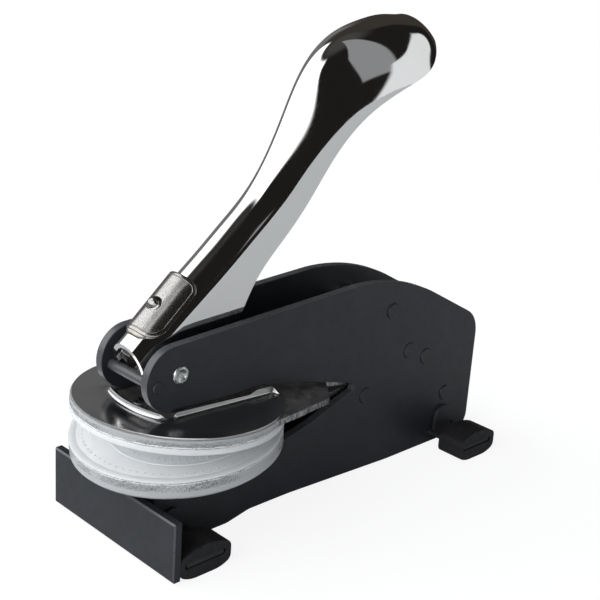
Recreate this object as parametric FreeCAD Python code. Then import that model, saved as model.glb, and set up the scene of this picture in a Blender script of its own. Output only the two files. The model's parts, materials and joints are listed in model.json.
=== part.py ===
import FreeCAD, Part
import math
import os
from FreeCAD import Vector

# A hand-held desk press that embosses paper between two round dies.
# Millimetres. X runs across the press, Y from the dies to the rear, Z up from the table.
# Until the last step the die axis stands at y = 0 and the table is z = 0.

# Frame: two black side plates joined by cross pins
plate_t = 2.64
channel_w = 22.77
front_edge_y = -16.4
frame_l = 134.4
frame_h = 63.4
base_gap = 0.45
belly_rise = 1.75
lower_arm_z = 20.5
ear_r = 9.5
ear_back = 1.58
ear_drop = 0.9
tongue_low_z = 3.0
tongue_high_z = 12.5
apex_y = 58.0
apex_z = 30.6
apex_r = 1.6

# Places on the side plate's outline, as shares of its length from the front edge and of its height,
# but for the dip, whose heights are shares of lower_z, and the brow, whose heights are shares of the pivot's
step_start_share = 0.197
step_end_share = 0.260
belly_end_share = 0.375
heel_start_share = 0.70
dip_shares = ((0.335, 0.8144), (0.368, 0.8464), (0.487, 1.0330))
brow_shares = ((0.498, 0.6660), (0.335, 0.7670), (0.271, 0.7980))
hump_shares = ((0.551, 1.000), (0.702, 0.9590), (0.829, 0.8500))
tail_shares = (0.985, 0.655)
tail_round_share = 0.075
heel_round_share = 0.045
step_round_share = 0.055

# Clearances
rivet_gap = 0.03
run_gap = 0.05
seat_gap = 0.12
side_gap = 0.45
overrun = 3.0

# Handle pivot and the pins and rivets across the frame
pivot_y = -8.9
pivot_rise = 26.33
pivot_r = 2.0
pivot_head_r = 2.6
pivot_head_t = 0.55
pivot_dish_r = 1.75
pivot_dish_t = 0.35
front_pin_r = 1.6
front_pin_ahead = 7.4
front_pin_drop = 2.0
pin_proud = 0.25
top_rivet_y = 74.4
top_rivet_drop = 11.3
top_rivet_r = 1.9
rivet_head_r = 2.6
rivet_head_t = 0.45
spacer_wall = 1.6
bottom_rivet_share = 0.90
bottom_rivet_z = 17.0
seat_pin_r = 2.5
low_seat_y = 65.0
high_seat_y = 84.0

# Dies and their holders
die_d = 60.0
lower_tilt_angle = 5.4
lower_z = 25.17
lower_clear_t = 4.45
upper_clear_t = 2.3
lower_flange_t = 0.5
upper_flange_t = 1.85
closed_gap = 0.15
upper_rim_inset = 0.4
die_edge_w = 7.5
relief_edge_w = 8.1
relief_lip_w = 0.9
relief_lip_h = 0.35
dot_edge_w = 3.8
dot_d = 0.8
dot_h = 0.2
dot_count = 84

# Jaw opening, about the place where the spring leaf bends
jaw_open_angle = 8.28
flex_behind = 1.27
flex_z = 1.39

# Carriers: thin bright plates with a lip that stands round the arms
carrier_t = 0.7
lip_t = 0.8
lip_front_h = 1.55
lip_gap = 0.62
lip_front_y = -17.9
lip_front_bulge = 2.5
lip_dip_y = 14.4
lip_dip_h = 0.7
lip_step_y = 17.9
lip_rear_h = 2.1
lip_end_back = 1.5
lip_notch = 4.2
lip_root_r = 1.3
mouth_corner_r = 2.2
low_lip_h = 5.6
low_lip_l = 22.0

# Spring leaves
leaf_t = 1.8
leaf_front_edge_w = 4.8
leaf_shoulder_edge_w = 3.1
leaf_shoulder_y = 12.5
leaf_mid_edge_w = 4.8
leaf_mid_y = 24.6
leaf_waist_edge_w = 9.6
leaf_waist_y = 39.4
leaf_bend_ahead = 3.5
leaf_meet_y = 60.0
leaf_end_y = 90.0
tail_start_y = 50.0
lower_leaf_waist_y = 19.0
leaf_front_y = -19.2
pocket_gap = 0.25
leaf_gap = 0.05
insert_rivet_ys = (70.0, 77.0)
insert_rivet_r = 1.6
insert_head_r = 2.8
insert_head_t = 1.0
die_screw_lip_gap = 4.9
die_screw_rear_share = 0.533
die_screw_r = 1.5
die_screw_head_r = 2.7
die_screw_head_t = 1.4
die_screw_grip = 1.2
die_screw_end_gap = 0.1

# Front bracket, foot bars and rubber feet
bracket_w = 55.3
bracket_h = 17.5
bracket_t = 2.5
bracket_z = 1.08
bracket_front_y = -22.4
bracket_edge = 0.45
bar_w = 12.7
bar_t = 1.25
bar_z = 3.85
bar_front_gap = 2.5
bar_short = 0.4
tab_w = 8.0
tab_t = 1.2
tab_top_z = 12.8
tab_gap = 0.05
foot_l = 9.1
foot_w = 17.6
foot_h = 9.15
foot_low_share = 0.2
foot_high_share = 0.74
foot_flat_share = 0.36
foot_round = 2.3
foot_slot_w = 13.9
foot_slot_gap = 0.1
rear_foot_share = 0.895

# Handle, in its own frame: l runs back from the pivot, n stands square to it
handle_rest_angle = 41.47
handle_wall = 1.2
tube_half_w = 6.5
handle_l = 126.6
handle_n_low = -24.0
beak_ahead = 6.3
beak_top_ahead = 3.0
beak_gap = 0.25
cheek_ahead = 4.55
pivot_boss_r = 4.7
roller_r = 3.2
roller_back = 11.6
roller_lift = 1.1
roller_pin_r = 1.5
roller_boss_r = 2.9
roller_side_gap = 0.2
grip_l_shares = (-0.055, 0.06, 0.16, 0.24, 0.33, 0.41, 0.49, 0.585, 0.68, 0.76, 0.83, 0.893, 0.948, 0.985, 1.0)
grip_w_shares = (1.0, 1.0, 1.0, 1.0, 1.0, 1.0, 1.03, 1.14, 1.32, 1.51, 1.62, 1.60, 1.33, 0.98, 0.60)
grip_t_shares = (1.90, 1.86, 1.76, 1.68, 1.64, 1.66, 1.93, 2.58, 3.29, 3.50, 3.23, 2.64, 1.90, 1.27, 0.80)
rim_l_shares = (0.987, 0.948, 0.893, 0.83, 0.76, 0.68, 0.585, 0.49, 0.395, 0.28)
rim_n_shares = (-0.34, -0.66, -0.42, 0.03, 0.34, 0.42, 0.14, -0.35, -0.57, -0.785)
rim_end_l_share = 0.193
rim_end_n_share = -1.39

# Slide lock on the handle
lock_travel = 4.2
lock_plate_t = 1.0
lock_plate_gap = 0.1
lock_plate_l = 18.7
lock_plate_ahead = -2.7
lock_plate_angle = 62.0
lock_bump_r = 1.7
lock_bump_h = 1.5
lock_bar_t = 0.5
lock_bar_w = 6.4
lock_nose_n = 0.93
lock_nose_l = 2.45
lock_bend_share = 0.414
lock_tip_ahead = 4.5
lock_pass_n = 2.35
lock_seat_n = 7.9
lock_rise_back = 3.8
lock_seat_back = 8.2
lock_bar_back = 20.0
lock_stud_r = 1.5
lock_stud_back = 11.1
lock_stud_head_t = 0.7
lock_stud_head_r = 2.3
slot_gap = 0.15

# Derived sizes
pivot_z = lower_z + pivot_rise
top_rivet_z = frame_h - top_rivet_drop
half_channel = channel_w / 2
inner_half = half_channel - plate_t
rear_edge_y = front_edge_y + frame_l
ring_r = die_d / 2
upper_rim_r = ring_r - upper_rim_inset
die_plug_r = ring_r - die_edge_w
relief_r = ring_r - relief_edge_w
dot_ring_r = ring_r - dot_edge_w
upper_leaf_r = ring_r - leaf_front_edge_w
leaf_shoulder_x = ring_r - leaf_shoulder_edge_w
leaf_mid_x = ring_r - leaf_mid_edge_w
leaf_waist_x = ring_r - leaf_waist_edge_w
leaf_bend_y = ring_r - leaf_bend_ahead
flex_y = ring_r + flex_behind
die_screw_ys = (lip_front_y + die_screw_lip_gap, die_screw_rear_share * ring_r)
lower_stack = lower_clear_t + lower_flange_t
closed_top = lower_stack + closed_gap + upper_flange_t + upper_clear_t + carrier_t
bracket_back_y = bracket_front_y + bracket_t
front_pin_y = pivot_y - front_pin_ahead
front_pin_z = pivot_z - front_pin_drop
lip_inner = half_channel + lip_gap
lip_outer = lip_inner + lip_t
mouth_y = math.sqrt(upper_rim_r ** 2 - lip_inner ** 2)
lip_end_y = mouth_y - lip_end_back
tail_half_w = inner_half - side_gap
bottom_rivet_y = front_edge_y + bottom_rivet_share * frame_l
rear_bar_y = front_edge_y + rear_foot_share * frame_l
front_bar_y = bracket_back_y + bar_front_gap + bar_w / 2
handle_inner_half = tube_half_w - handle_wall


def place(angle, y, z, pivot_at=(0.0, 0.0)):
    """A turn about X at pivot_at, then a move by y and z."""
    turn = FreeCAD.Rotation(Vector(1, 0, 0), angle)
    centre = Vector(0, pivot_at[0], pivot_at[1])
    return FreeCAD.Placement(Vector(0, y, z), turn, centre)


def moved(shape, placement):
    """A copy of the shape, carried along by the placement."""
    matrix = placement.toMatrix()
    return shape.transformed(matrix, copy=True)


def carried(y, z, placement):
    """Where the point (y, z) goes with the placement."""
    point = placement.multVec(Vector(0, y, z))
    return point.y, point.z


lower_place = place(lower_tilt_angle, 0, lower_z)
open_turn = place(-jaw_open_angle, 0, 0, (flex_y, flex_z))
upper_place = lower_place.multiply(open_turn)
handle_place = place(handle_rest_angle, pivot_y, pivot_z)


def plate_point(share_l, share_h, height=frame_h):
    """A place on the side plate, from shares of its length and of a height."""
    return front_edge_y + share_l * frame_l, share_h * height


def yz(point, x=0.0):
    return Vector(x, point[0], point[1])


def outline(start, *steps):
    """A closed wire in the YZ plane: a step of one point is a line, of two points an arc."""
    edges = []
    here = start
    for step in steps:
        if len(step) == 1:
            edges.append(Part.makeLine(yz(here), yz(step[0])))
        else:
            edges.append(Part.Arc(yz(here), yz(step[0]), yz(step[1])).toShape())
        here = step[-1]
    if here != start:
        edges.append(Part.makeLine(yz(here), yz(start)))
    return Part.Wire(edges)


def prism(wire, x_low, x_high):
    """The wire's face, drawn out along X from x_low to x_high."""
    face = Part.Face(wire)
    face.translate(Vector(x_low, 0, 0))
    return face.extrude(Vector(x_high - x_low, 0, 0))


def box(x_low, x_high, y_low, y_high, z_low, z_high):
    size = Vector(x_high - x_low, y_high - y_low, z_high - z_low)
    return Part.makeBox(size.x, size.y, size.z, Vector(x_low, y_low, z_low))


def bar_x(r, y, z, x_low, x_high):
    """A round bar along X."""
    return Part.makeCylinder(r, x_high - x_low, Vector(x_low, y, z), Vector(1, 0, 0))


def post(r, x, y, z_low, z_high):
    """A round bar along Z."""
    return Part.makeCylinder(r, z_high - z_low, Vector(x, y, z_low), Vector(0, 0, 1))


def tube_x(r, r_hole, y, z, x_low, x_high):
    return bar_x(r, y, z, x_low, x_high).cut(bar_x(r_hole, y, z, x_low - overrun, x_high + overrun))


def rounded(shape, corners, radius):
    """Fillets the edges along X that pass through the listed (y, z) corners."""
    picked = []
    for edge in shape.Edges:
        ends = [v.Point for v in edge.Vertexes]
        if len(ends) != 2 or abs(ends[0].x - ends[1].x) < radius * 0.01:
            continue
        for corner in corners:
            if all(math.hypot(p.y - corner[0], p.z - corner[1]) < radius * 0.01 for p in ends):
                picked.append(edge)
    return shape.makeFillet(radius, picked)


def mirrored(shape):
    """The shape's mirror image across the plane x = 0."""
    return shape.mirror(Vector(0, 0, 0), Vector(1, 0, 0))


def both_sides(shape):
    return Part.makeCompound([shape, mirrored(shape)])


# Side plates

def plate_outline():
    ear_y = pivot_y - ear_back
    ear_z = pivot_z - ear_drop
    ear_front = (ear_y - ear_r, ear_z)
    ear_low = (ear_y, ear_z - ear_r)
    hump = [plate_point(*share) for share in hump_shares]
    rise = (hump[0][1] - ear_z - ear_r) / (hump[0][0] - ear_y)
    lean = math.atan(rise)
    ear_top = (ear_y - ear_r * math.sin(lean), ear_z + ear_r * math.cos(lean))
    tail = plate_point(*tail_shares)
    step_start = (front_edge_y + step_start_share * frame_l, base_gap)
    step_end = (front_edge_y + step_end_share * frame_l, base_gap + belly_rise)
    belly_end = (front_edge_y + belly_end_share * frame_l, base_gap + belly_rise)
    heel_start = (front_edge_y + heel_start_share * frame_l, base_gap)
    dip = [plate_point(*share, lower_z) for share in dip_shares]
    brow = [plate_point(*share, pivot_z) for share in brow_shares]
    apex = (apex_y + apex_r, apex_z)
    return outline(
        (front_edge_y, base_gap), (step_start,), (step_end,), (belly_end,), (heel_start,),
        ((rear_edge_y, base_gap),), ((rear_edge_y, tail[1]),), (hump[2],), (hump[1], hump[0]),
        (ear_top,), (ear_front, ear_low), (brow[2],), (brow[1], brow[0]),
        ((apex_y, apex_z + apex_r),), (apex, (apex_y, apex_z - apex_r)),
        (dip[2],), (dip[1], dip[0]), ((front_edge_y, lower_arm_z),),
        ((front_edge_y, tongue_high_z),), ((bracket_back_y + run_gap, tongue_high_z),),
        ((bracket_back_y + run_gap, tongue_low_z),), ((front_edge_y, tongue_low_z),))


def plate_holes():
    """Round holes for the pins and rivets, and slots for the two foot bars."""
    low = inner_half - overrun
    high = half_channel + overrun
    holes = [bar_x(r + rivet_gap, y, z, low, high) for r, y, z in cross_places()]
    for bar_y in (front_bar_y, rear_bar_y):
        half = bar_w / 2 + rivet_gap
        holes.append(box(low, high, bar_y - half, bar_y + half, bar_z - rivet_gap, bar_z + bar_t + rivet_gap))
    return Part.makeCompound(holes)


def cross_places():
    """Radius and place of every pin and rivet that crosses both side plates."""
    return (
        (pivot_r, pivot_y, pivot_z),
        (front_pin_r, front_pin_y, front_pin_z),
        (top_rivet_r, top_rivet_y, top_rivet_z),
        (top_rivet_r, bottom_rivet_y, bottom_rivet_z),
        (seat_pin_r, low_seat_y, low_seat_z()),
        (seat_pin_r, high_seat_y, high_seat_z()),
        (seat_pin_r, stop_pin_y(), stop_pin_z()))


def side_plate():
    plate = prism(plate_outline(), inner_half, half_channel)
    step_corners = [(front_edge_y + step_start_share * frame_l, base_gap),
                    (front_edge_y + step_end_share * frame_l, base_gap + belly_rise)]
    plate = rounded(plate, step_corners, step_round_share * frame_l)
    plate = rounded(plate, [(rear_edge_y, plate_point(*tail_shares)[1])], tail_round_share * frame_l)
    plate = rounded(plate, [(rear_edge_y, base_gap)], heel_round_share * frame_l)
    return plate.cut(plate_holes())


# Cross pins and rivets

def headed_rivet(r, y, z, head_r, head_t):
    """A plain rivet across the frame with a low domed head on each side."""
    reach = half_channel + head_t
    shank = bar_x(r, y, z, -reach, reach)
    head = bar_x(head_r, y, z, half_channel, reach)
    rim = [e for e in head.Edges if len(e.Vertexes) == 1 and abs(e.Vertexes[0].X - reach) < run_gap]
    head = head.makeFillet(head_t * 0.8, rim)
    return shank.fuse(head).fuse(mirrored(head)).removeSplitter()


def spacer(r, y, z):
    """A tube that keeps the two side plates apart round a rivet."""
    return tube_x(r + spacer_wall, r + run_gap, y, z, -inner_half + rivet_gap, inner_half - rivet_gap)


def handle_pivot_rivet():
    rivet = headed_rivet(pivot_r, pivot_y, pivot_z, pivot_head_r, pivot_head_t)
    reach = half_channel + pivot_head_t
    dish = bar_x(pivot_dish_r, pivot_y, pivot_z, reach - pivot_dish_t, reach + overrun)
    return rivet.cut(dish).cut(mirrored(dish))


def front_cross_pin():
    reach = half_channel + pin_proud
    return bar_x(front_pin_r, front_pin_y, front_pin_z, -reach, reach)


def seat_pin(y, z):
    reach = half_channel + pin_proud
    return bar_x(seat_pin_r, y, z, -reach, reach)


def pivot_spacers():
    """Washers that centre the handle between the side plates."""
    washer = tube_x(pivot_boss_r - spacer_wall / 2, pivot_r + run_gap, pivot_y, pivot_z,
                    tube_half_w + side_gap / 3, inner_half - rivet_gap)
    return both_sides(washer)


# Spring leaves and what holds them at the rear

def lower_leaf_top(y):
    """Height of the lower leaf's upper face at y, counted from the table."""
    point = carried(0, -carrier_t, lower_place)
    return point[1] + (y - point[0]) * math.tan(math.radians(lower_tilt_angle))


def slant(t):
    """A plate's thickness t, measured straight up through the lower leaf's slope."""
    return t / math.cos(math.radians(lower_tilt_angle))


def upper_tail_top(y):
    return lower_leaf_top(y) + leaf_gap + slant(leaf_t)


def low_seat_z():
    return lower_leaf_top(low_seat_y) - slant(leaf_t) - seat_gap - slant(seat_pin_r)


def high_seat_z():
    return upper_tail_top(high_seat_y) + seat_gap + slant(seat_pin_r)


def stop_pin_y():
    return leaf_end_y + seat_gap + seat_pin_r


def stop_pin_z():
    return lower_leaf_top(leaf_end_y)


def leaf_plan(points, front):
    """The leaf's outline seen from above: a front arc, or none, and mirrored straight sides."""
    right = [Vector(x, y, 0) for x, y in points]
    left = [Vector(-x, y, 0) for x, y in reversed(points)]
    edges = [Part.makeLine(a, b) for a, b in zip(right, right[1:])]
    edges.append(Part.makeLine(right[-1], left[0]))
    edges += [Part.makeLine(a, b) for a, b in zip(left, left[1:])]
    if front is None:
        edges.append(Part.makeLine(left[-1], right[0]))
    else:
        edges.append(Part.Arc(left[-1], Vector(0, front, 0), right[0]).toShape())
    face = Part.Face(Part.Wire(edges))
    face.translate(Vector(0, 0, -frame_h))
    return face.extrude(Vector(0, 0, 3 * frame_h))


def upper_leaf_plan(grow=0.0):
    r = upper_leaf_r + grow
    points = [(r, 0), (leaf_shoulder_x + grow, leaf_shoulder_y),
              (leaf_mid_x + grow, leaf_mid_y),
              (leaf_waist_x + grow, leaf_waist_y),
              (tail_half_w, tail_start_y), (tail_half_w, leaf_end_y)]
    return leaf_plan(points, -r)


def upper_leaf():
    top = closed_top - carrier_t
    low = top - leaf_t
    front = -upper_leaf_r - overrun
    head_top = carried(front, top, upper_place)
    bend_top = carried(leaf_bend_y, top, upper_place)
    bend_low = carried(leaf_bend_y - leaf_t * 0.1, low, upper_place)
    head_low = carried(front, low, upper_place)
    side = outline(
        head_top, (bend_top,), ((leaf_meet_y, upper_tail_top(leaf_meet_y)),),
        ((leaf_end_y, upper_tail_top(leaf_end_y)),),
        ((leaf_end_y, upper_tail_top(leaf_end_y) - slant(leaf_t)),),
        ((leaf_meet_y + leaf_t * 0.1, upper_tail_top(leaf_meet_y) - slant(leaf_t)),),
        (bend_low,), (head_low,))
    body = prism(side, -ring_r, ring_r).common(upper_leaf_plan())
    for y in insert_rivet_ys:
        body = body.cut(insert_hole(y))
    return body.cut(moved(die_screw_holes(closed_top), upper_place))


def lower_leaf():
    front_y = leaf_front_y
    side = outline(
        (front_y, lower_leaf_top(front_y)), ((leaf_end_y, lower_leaf_top(leaf_end_y)),),
        ((leaf_end_y, lower_leaf_top(leaf_end_y) - slant(leaf_t)),),
        ((front_y, lower_leaf_top(front_y) - slant(leaf_t)),))
    points = [(half_channel, front_y - overrun), (half_channel, lower_leaf_waist_y),
              (tail_half_w, lower_leaf_waist_y + plate_t), (tail_half_w, leaf_end_y)]
    body = prism(side, -ring_r, ring_r).common(leaf_plan(points, None))
    for y in insert_rivet_ys:
        body = body.cut(insert_hole(y))
    return body.cut(moved(die_screw_holes(0), lower_place))


def leaf_seam(y):
    """Middle of the joint between the two leaves at y, and its placement along the slope."""
    return place(lower_tilt_angle, y, lower_leaf_top(y))


def insert_hole(y):
    hole = post(insert_rivet_r + rivet_gap, 0, 0, -2 * leaf_t, 3 * leaf_t)
    return moved(hole, leaf_seam(y))


def insert_rivets():
    """Two short rivets that join the leaves at their rear ends."""
    low = -leaf_t
    high = leaf_t + leaf_gap
    rivets = []
    for y in insert_rivet_ys:
        shank = post(insert_rivet_r, 0, 0, low - insert_head_t, high + insert_head_t)
        foot = post(insert_head_r, 0, 0, low - insert_head_t, low)
        head = post(insert_head_r, 0, 0, high, high + insert_head_t)
        rivets.append(moved(shank.fuse(foot).fuse(head).removeSplitter(), leaf_seam(y)))
    return Part.makeCompound(rivets)


# Carriers, clear holders and dies, in the frame of the lower holder

def lip_side_wall(top):
    """Side wall of the upturned lip: it runs low along the arm, then steps up at the rear."""
    low = top - carrier_t
    start = lip_front_y + lip_front_bulge + lip_notch
    shape = outline(
        (start, low), ((start, top + lip_front_h),), ((lip_dip_y, top + lip_dip_h),),
        ((lip_step_y, top + lip_rear_h),), ((lip_end_y, top + lip_rear_h),), ((lip_end_y, low),))
    return prism(shape, lip_inner, lip_outer)


def lip_front(z_low, z_high):
    """The curved front wall of the lip."""
    def arc_wire(r_step):
        tip = lip_front_y + r_step
        side = tip + lip_front_bulge
        return Vector(-lip_inner, side, z_low), Vector(0, tip, z_low), Vector(lip_inner, side, z_low)
    a, b, c = arc_wire(0)
    d, e, f = arc_wire(lip_t)
    wire = Part.Wire([Part.Arc(a, b, c).toShape(), Part.makeLine(c, f),
                      Part.Arc(f, e, d).toShape(), Part.makeLine(d, a)])
    return Part.Face(wire).extrude(Vector(0, 0, z_high - z_low))


def lip_opening(z_low, z_high):
    """The hole in the carrier, inside its lip."""
    side_y = lip_front_y + lip_t + lip_front_bulge
    a = Vector(-lip_inner, side_y, z_low)
    b = Vector(0, lip_front_y + lip_t, z_low)
    c = Vector(lip_inner, side_y, z_low)
    d = Vector(lip_inner, ring_r, z_low)
    e = Vector(-lip_inner, ring_r, z_low)
    wire = Part.Wire([Part.Arc(a, b, c).toShape(), Part.makeLine(c, d),
                      Part.makeLine(d, e), Part.makeLine(e, a)])
    return Part.Face(wire).extrude(Vector(0, 0, z_high - z_low))


def upper_carrier():
    """Bright round plate with an upturned lip round the upper arms."""
    top = closed_top
    plate = post(upper_rim_r, 0, 0, top - carrier_t, top)
    plate = plate.cut(lip_opening(top - carrier_t - overrun, top + overrun))
    mouth = [e for e in plate.Edges
             if all(math.hypot(abs(v.X) - lip_inner, v.Y - mouth_y) < run_gap for v in e.Vertexes)]
    plate = plate.makeFillet(mouth_corner_r, mouth)
    body = plate.fuse([both_sides(lip_side_wall(top)), lip_front(top - carrier_t, top + lip_front_h)])
    body = body.removeSplitter()
    root = [e for e in body.Edges if is_lip_root(e, top)]
    return moved(body.makeFillet(lip_root_r, root), upper_place)


def is_lip_root(edge, top):
    """True for the edges where the lip's outer face meets the plate's upper face."""
    ends = [v.Point for v in edge.Vertexes]
    if any(abs(p.z - top) > run_gap for p in ends) or len(ends) < 2:
        return False
    middle = edge.valueAt((edge.FirstParameter + edge.LastParameter) / 2)
    on_side = abs(abs(middle.x) - lip_outer) < run_gap
    on_front = abs(middle.x) < run_gap and abs(middle.y - lip_front_y) < run_gap
    return on_side or on_front


def lower_carrier():
    """Plate under the lower holder, with a lip that hangs beside the lower arms."""
    plate = post(ring_r - upper_rim_inset * 2, 0, 0, -carrier_t, 0)
    start = lip_front_y + lip_front_bulge + lip_notch
    wall = box(lip_inner, lip_outer, start, start + low_lip_l, -carrier_t - low_lip_h, 0)
    body = plate.fuse(both_sides(wall))
    body = body.cut(die_screw_holes(0))
    return moved(body.removeSplitter(), lower_place)


def die_screw_holes(z):
    holes = [post(die_screw_r + rivet_gap, 0, y, z - ring_r, z + ring_r) for y in die_screw_ys]
    return Part.makeCompound(holes)


def upper_holder():
    """Clear plastic holder: a ring with a pocket that takes the round end of the leaf."""
    top = closed_top - carrier_t
    low = top - upper_clear_t
    ring = post(ring_r, 0, 0, low, top)
    ring = ring.cut(post(die_plug_r + run_gap, 0, 0, low - overrun, top + overrun))
    plan = upper_leaf_plan(pocket_gap)
    floor = top - leaf_t - run_gap
    pocket = plan.common(post(ring_r * 2, 0, 0, floor, top + overrun))
    mouth = plan.common(box(-ring_r, ring_r, leaf_bend_y - leaf_t, 2 * ring_r, low - overrun, top + overrun))
    return moved(ring.cut(pocket).cut(mouth), upper_place)


def lower_holder():
    ring = post(ring_r, 0, 0, 0, lower_clear_t)
    ring = ring.cut(post(die_plug_r + run_gap, 0, 0, -overrun, lower_clear_t + overrun))
    return moved(ring, lower_place)


def screw_bores(z_low, z_high):
    return Part.makeCompound([post(die_screw_r + rivet_gap, 0, y, z_low, z_high) for y in die_screw_ys])


def lower_die():
    """White counter die: a plug with a flange, and raised marks on its face."""
    plug = post(die_plug_r, 0, 0, 0, lower_stack)
    flange = post(ring_r, 0, 0, lower_clear_t, lower_stack)
    body = plug.fuse(flange)
    body = body.cut(screw_bores(-overrun, die_screw_grip + die_screw_end_gap))
    sunk = post(relief_r - relief_lip_w, 0, 0, lower_stack - relief_lip_h, lower_stack + overrun)
    body = body.cut(sunk)
    groove = post(dot_ring_r + dot_d, 0, 0, lower_stack - dot_h, lower_stack + overrun)
    groove = groove.cut(post(dot_ring_r - dot_d, 0, 0, -overrun, lower_stack + 2 * overrun))
    body = body.cut(groove)
    dots = []
    for i in range(dot_count):
        turn = 2 * math.pi * i / dot_count
        x = dot_ring_r * math.cos(turn)
        y = dot_ring_r * math.sin(turn)
        dots.append(post(dot_d / 2, x, y, lower_stack - dot_h, lower_stack))
    body = body.fuse(dots)
    return moved(body.removeSplitter(), lower_place)


def upper_die():
    """White die above the paper, the lower die's match."""
    top = closed_top - carrier_t - leaf_t - run_gap
    face = lower_stack + closed_gap
    flange_top = face + upper_flange_t
    plug = post(die_plug_r, 0, 0, face, top)
    flange = post(ring_r, 0, 0, face, flange_top)
    body = plug.fuse(flange)
    body = body.cut(screw_bores(top + run_gap - die_screw_grip - die_screw_end_gap, top + overrun))
    sunk = post(relief_r - relief_lip_w, 0, 0, face - overrun, face + relief_lip_h)
    return moved(body.cut(sunk).removeSplitter(), upper_place)


def die_screws(z_face, depth, up, placement):
    """Two round-head screws; z_face is under the head, up is 1 when the head is on top."""
    screws = []
    for y in die_screw_ys:
        head_low = z_face if up > 0 else z_face - die_screw_head_t
        shank_low = z_face - depth if up > 0 else z_face
        head = post(die_screw_head_r, 0, y, head_low, head_low + die_screw_head_t)
        shank = post(die_screw_r, 0, y, shank_low, shank_low + depth)
        screws.append(moved(head.fuse(shank).removeSplitter(), placement))
    return Part.makeCompound(screws)


def upper_die_screws():
    leaf_top = closed_top - carrier_t
    return die_screws(leaf_top, leaf_t + die_screw_grip, 1, upper_place)


def lower_die_screws():
    leaf_low = -carrier_t - leaf_t
    return die_screws(leaf_low, carrier_t + leaf_t + die_screw_grip, -1, lower_place)


# Front bracket, foot bars and feet

def front_bracket():
    half = bracket_w / 2
    plate = box(-half, half, bracket_front_y, bracket_back_y, bracket_z, bracket_z + bracket_h)
    front = [e for e in plate.Edges
             if all(abs(v.Point.y - bracket_front_y) < run_gap for v in e.Vertexes)]
    return plate.makeChamfer(bracket_edge, front)


def foot_bar(bar_y):
    """Flat steel bar through both side plates, with a round-topped tab welded up against each."""
    half = bracket_w / 2 - bar_short
    bar = box(-half, half, bar_y - bar_w / 2, bar_y + bar_w / 2, bar_z, bar_z + bar_t)
    r = tab_w / 2
    tab_x = half_channel + tab_gap
    shape = outline(
        (bar_y + r, bar_z + bar_t / 2), ((bar_y + r, tab_top_z - r),),
        ((bar_y, tab_top_z), (bar_y - r, tab_top_z - r)), ((bar_y - r, bar_z + bar_t / 2),))
    tab = prism(shape, tab_x, tab_x + tab_t)
    return bar.fuse([tab, mirrored(tab)]).removeSplitter()


def rubber_foot(bar_y, side):
    """Rubber sleeve pushed over one end of a foot bar."""
    x_out = bracket_w / 2
    x_in = x_out - foot_l
    half = foot_w / 2
    flat = half * foot_flat_share
    low = foot_h * foot_low_share
    high = foot_h * foot_high_share
    between = (half + flat) / 2
    shape = outline(
        (bar_y - flat, 0), ((bar_y + flat, 0),), ((bar_y + between, low / 4), (bar_y + half, low)),
        ((bar_y + half, high),), ((bar_y, foot_h), (bar_y - half, high)), ((bar_y - half, low),),
        ((bar_y - between, low / 4), (bar_y - flat, 0)))
    corners = [(bar_y - half, low), (bar_y + half, low), (bar_y - half, high), (bar_y + half, high)]
    sleeve = rounded(prism(shape, x_in, x_out), corners, foot_round)
    slot_half = foot_slot_w / 2
    slot = box(x_in - overrun, x_out + overrun, bar_y - slot_half, bar_y + slot_half,
               bar_z - foot_slot_gap, bar_z + bar_t + foot_slot_gap)
    sleeve = sleeve.cut(slot)
    return sleeve if side > 0 else mirrored(sleeve)


# Handle

def to_handle(y, z):
    """A place in the press frame, told in the handle's frame as (l, n)."""
    return carried(y, z, handle_place.inverse())


def roller_place():
    """The roller's centre at rest, just clear of the upper leaf."""
    y = pivot_y + roller_back
    leaf_top = carried(y, closed_top - carrier_t, upper_place)
    return y, leaf_top[1] + roller_lift + roller_r


def arch_wire(l, half_w, top, low):
    """One section of the handle at l: upright sides under a half-round or half-oval top."""
    height = min(half_w, (top - low) * 0.6)
    spring = top - height
    stretch = FreeCAD.Matrix()
    stretch.A11 = half_w
    stretch.A33 = height
    unit = Part.Arc(Vector(-1, 0, 0), Vector(0, 0, 1), Vector(1, 0, 0)).toShape()
    arch = unit.transformGeometry(stretch)
    arch.translate(Vector(0, l, spring))
    left_low = Vector(-half_w, l, low)
    right_low = Vector(half_w, l, low)
    left_spring = Vector(-half_w, l, spring)
    right_spring = Vector(half_w, l, spring)
    return Part.Wire([Part.makeLine(left_low, left_spring), arch,
                      Part.makeLine(right_spring, right_low), Part.makeLine(right_low, left_low)])


def grip_body(inset):
    """The handle's outer form, or with an inset the hollow inside it."""
    wires = []
    for share_l, share_w, share_t in zip(grip_l_shares, grip_w_shares, grip_t_shares):
        l = share_l * (handle_l - inset)
        half_w = share_w * tube_half_w - inset
        top = share_t * tube_half_w - inset
        wires.append(arch_wire(l, max(half_w, inset), top, handle_n_low - inset))
    return Part.makeLoft(wires, True, False)


def tangent_points(c0, r0, c1, r1, side):
    """Touching points of the outer tangent of two circles, on the given side of their line."""
    dx = c1[0] - c0[0]
    dy = c1[1] - c0[1]
    span = math.hypot(dx, dy)
    turn = math.atan2(dy, dx) + side * math.acos((r0 - r1) / span)
    p0 = (c0[0] + r0 * math.cos(turn), c0[1] + r0 * math.sin(turn))
    p1 = (c1[0] + r1 * math.cos(turn), c1[1] + r1 * math.sin(turn))
    return p0, p1


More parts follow.
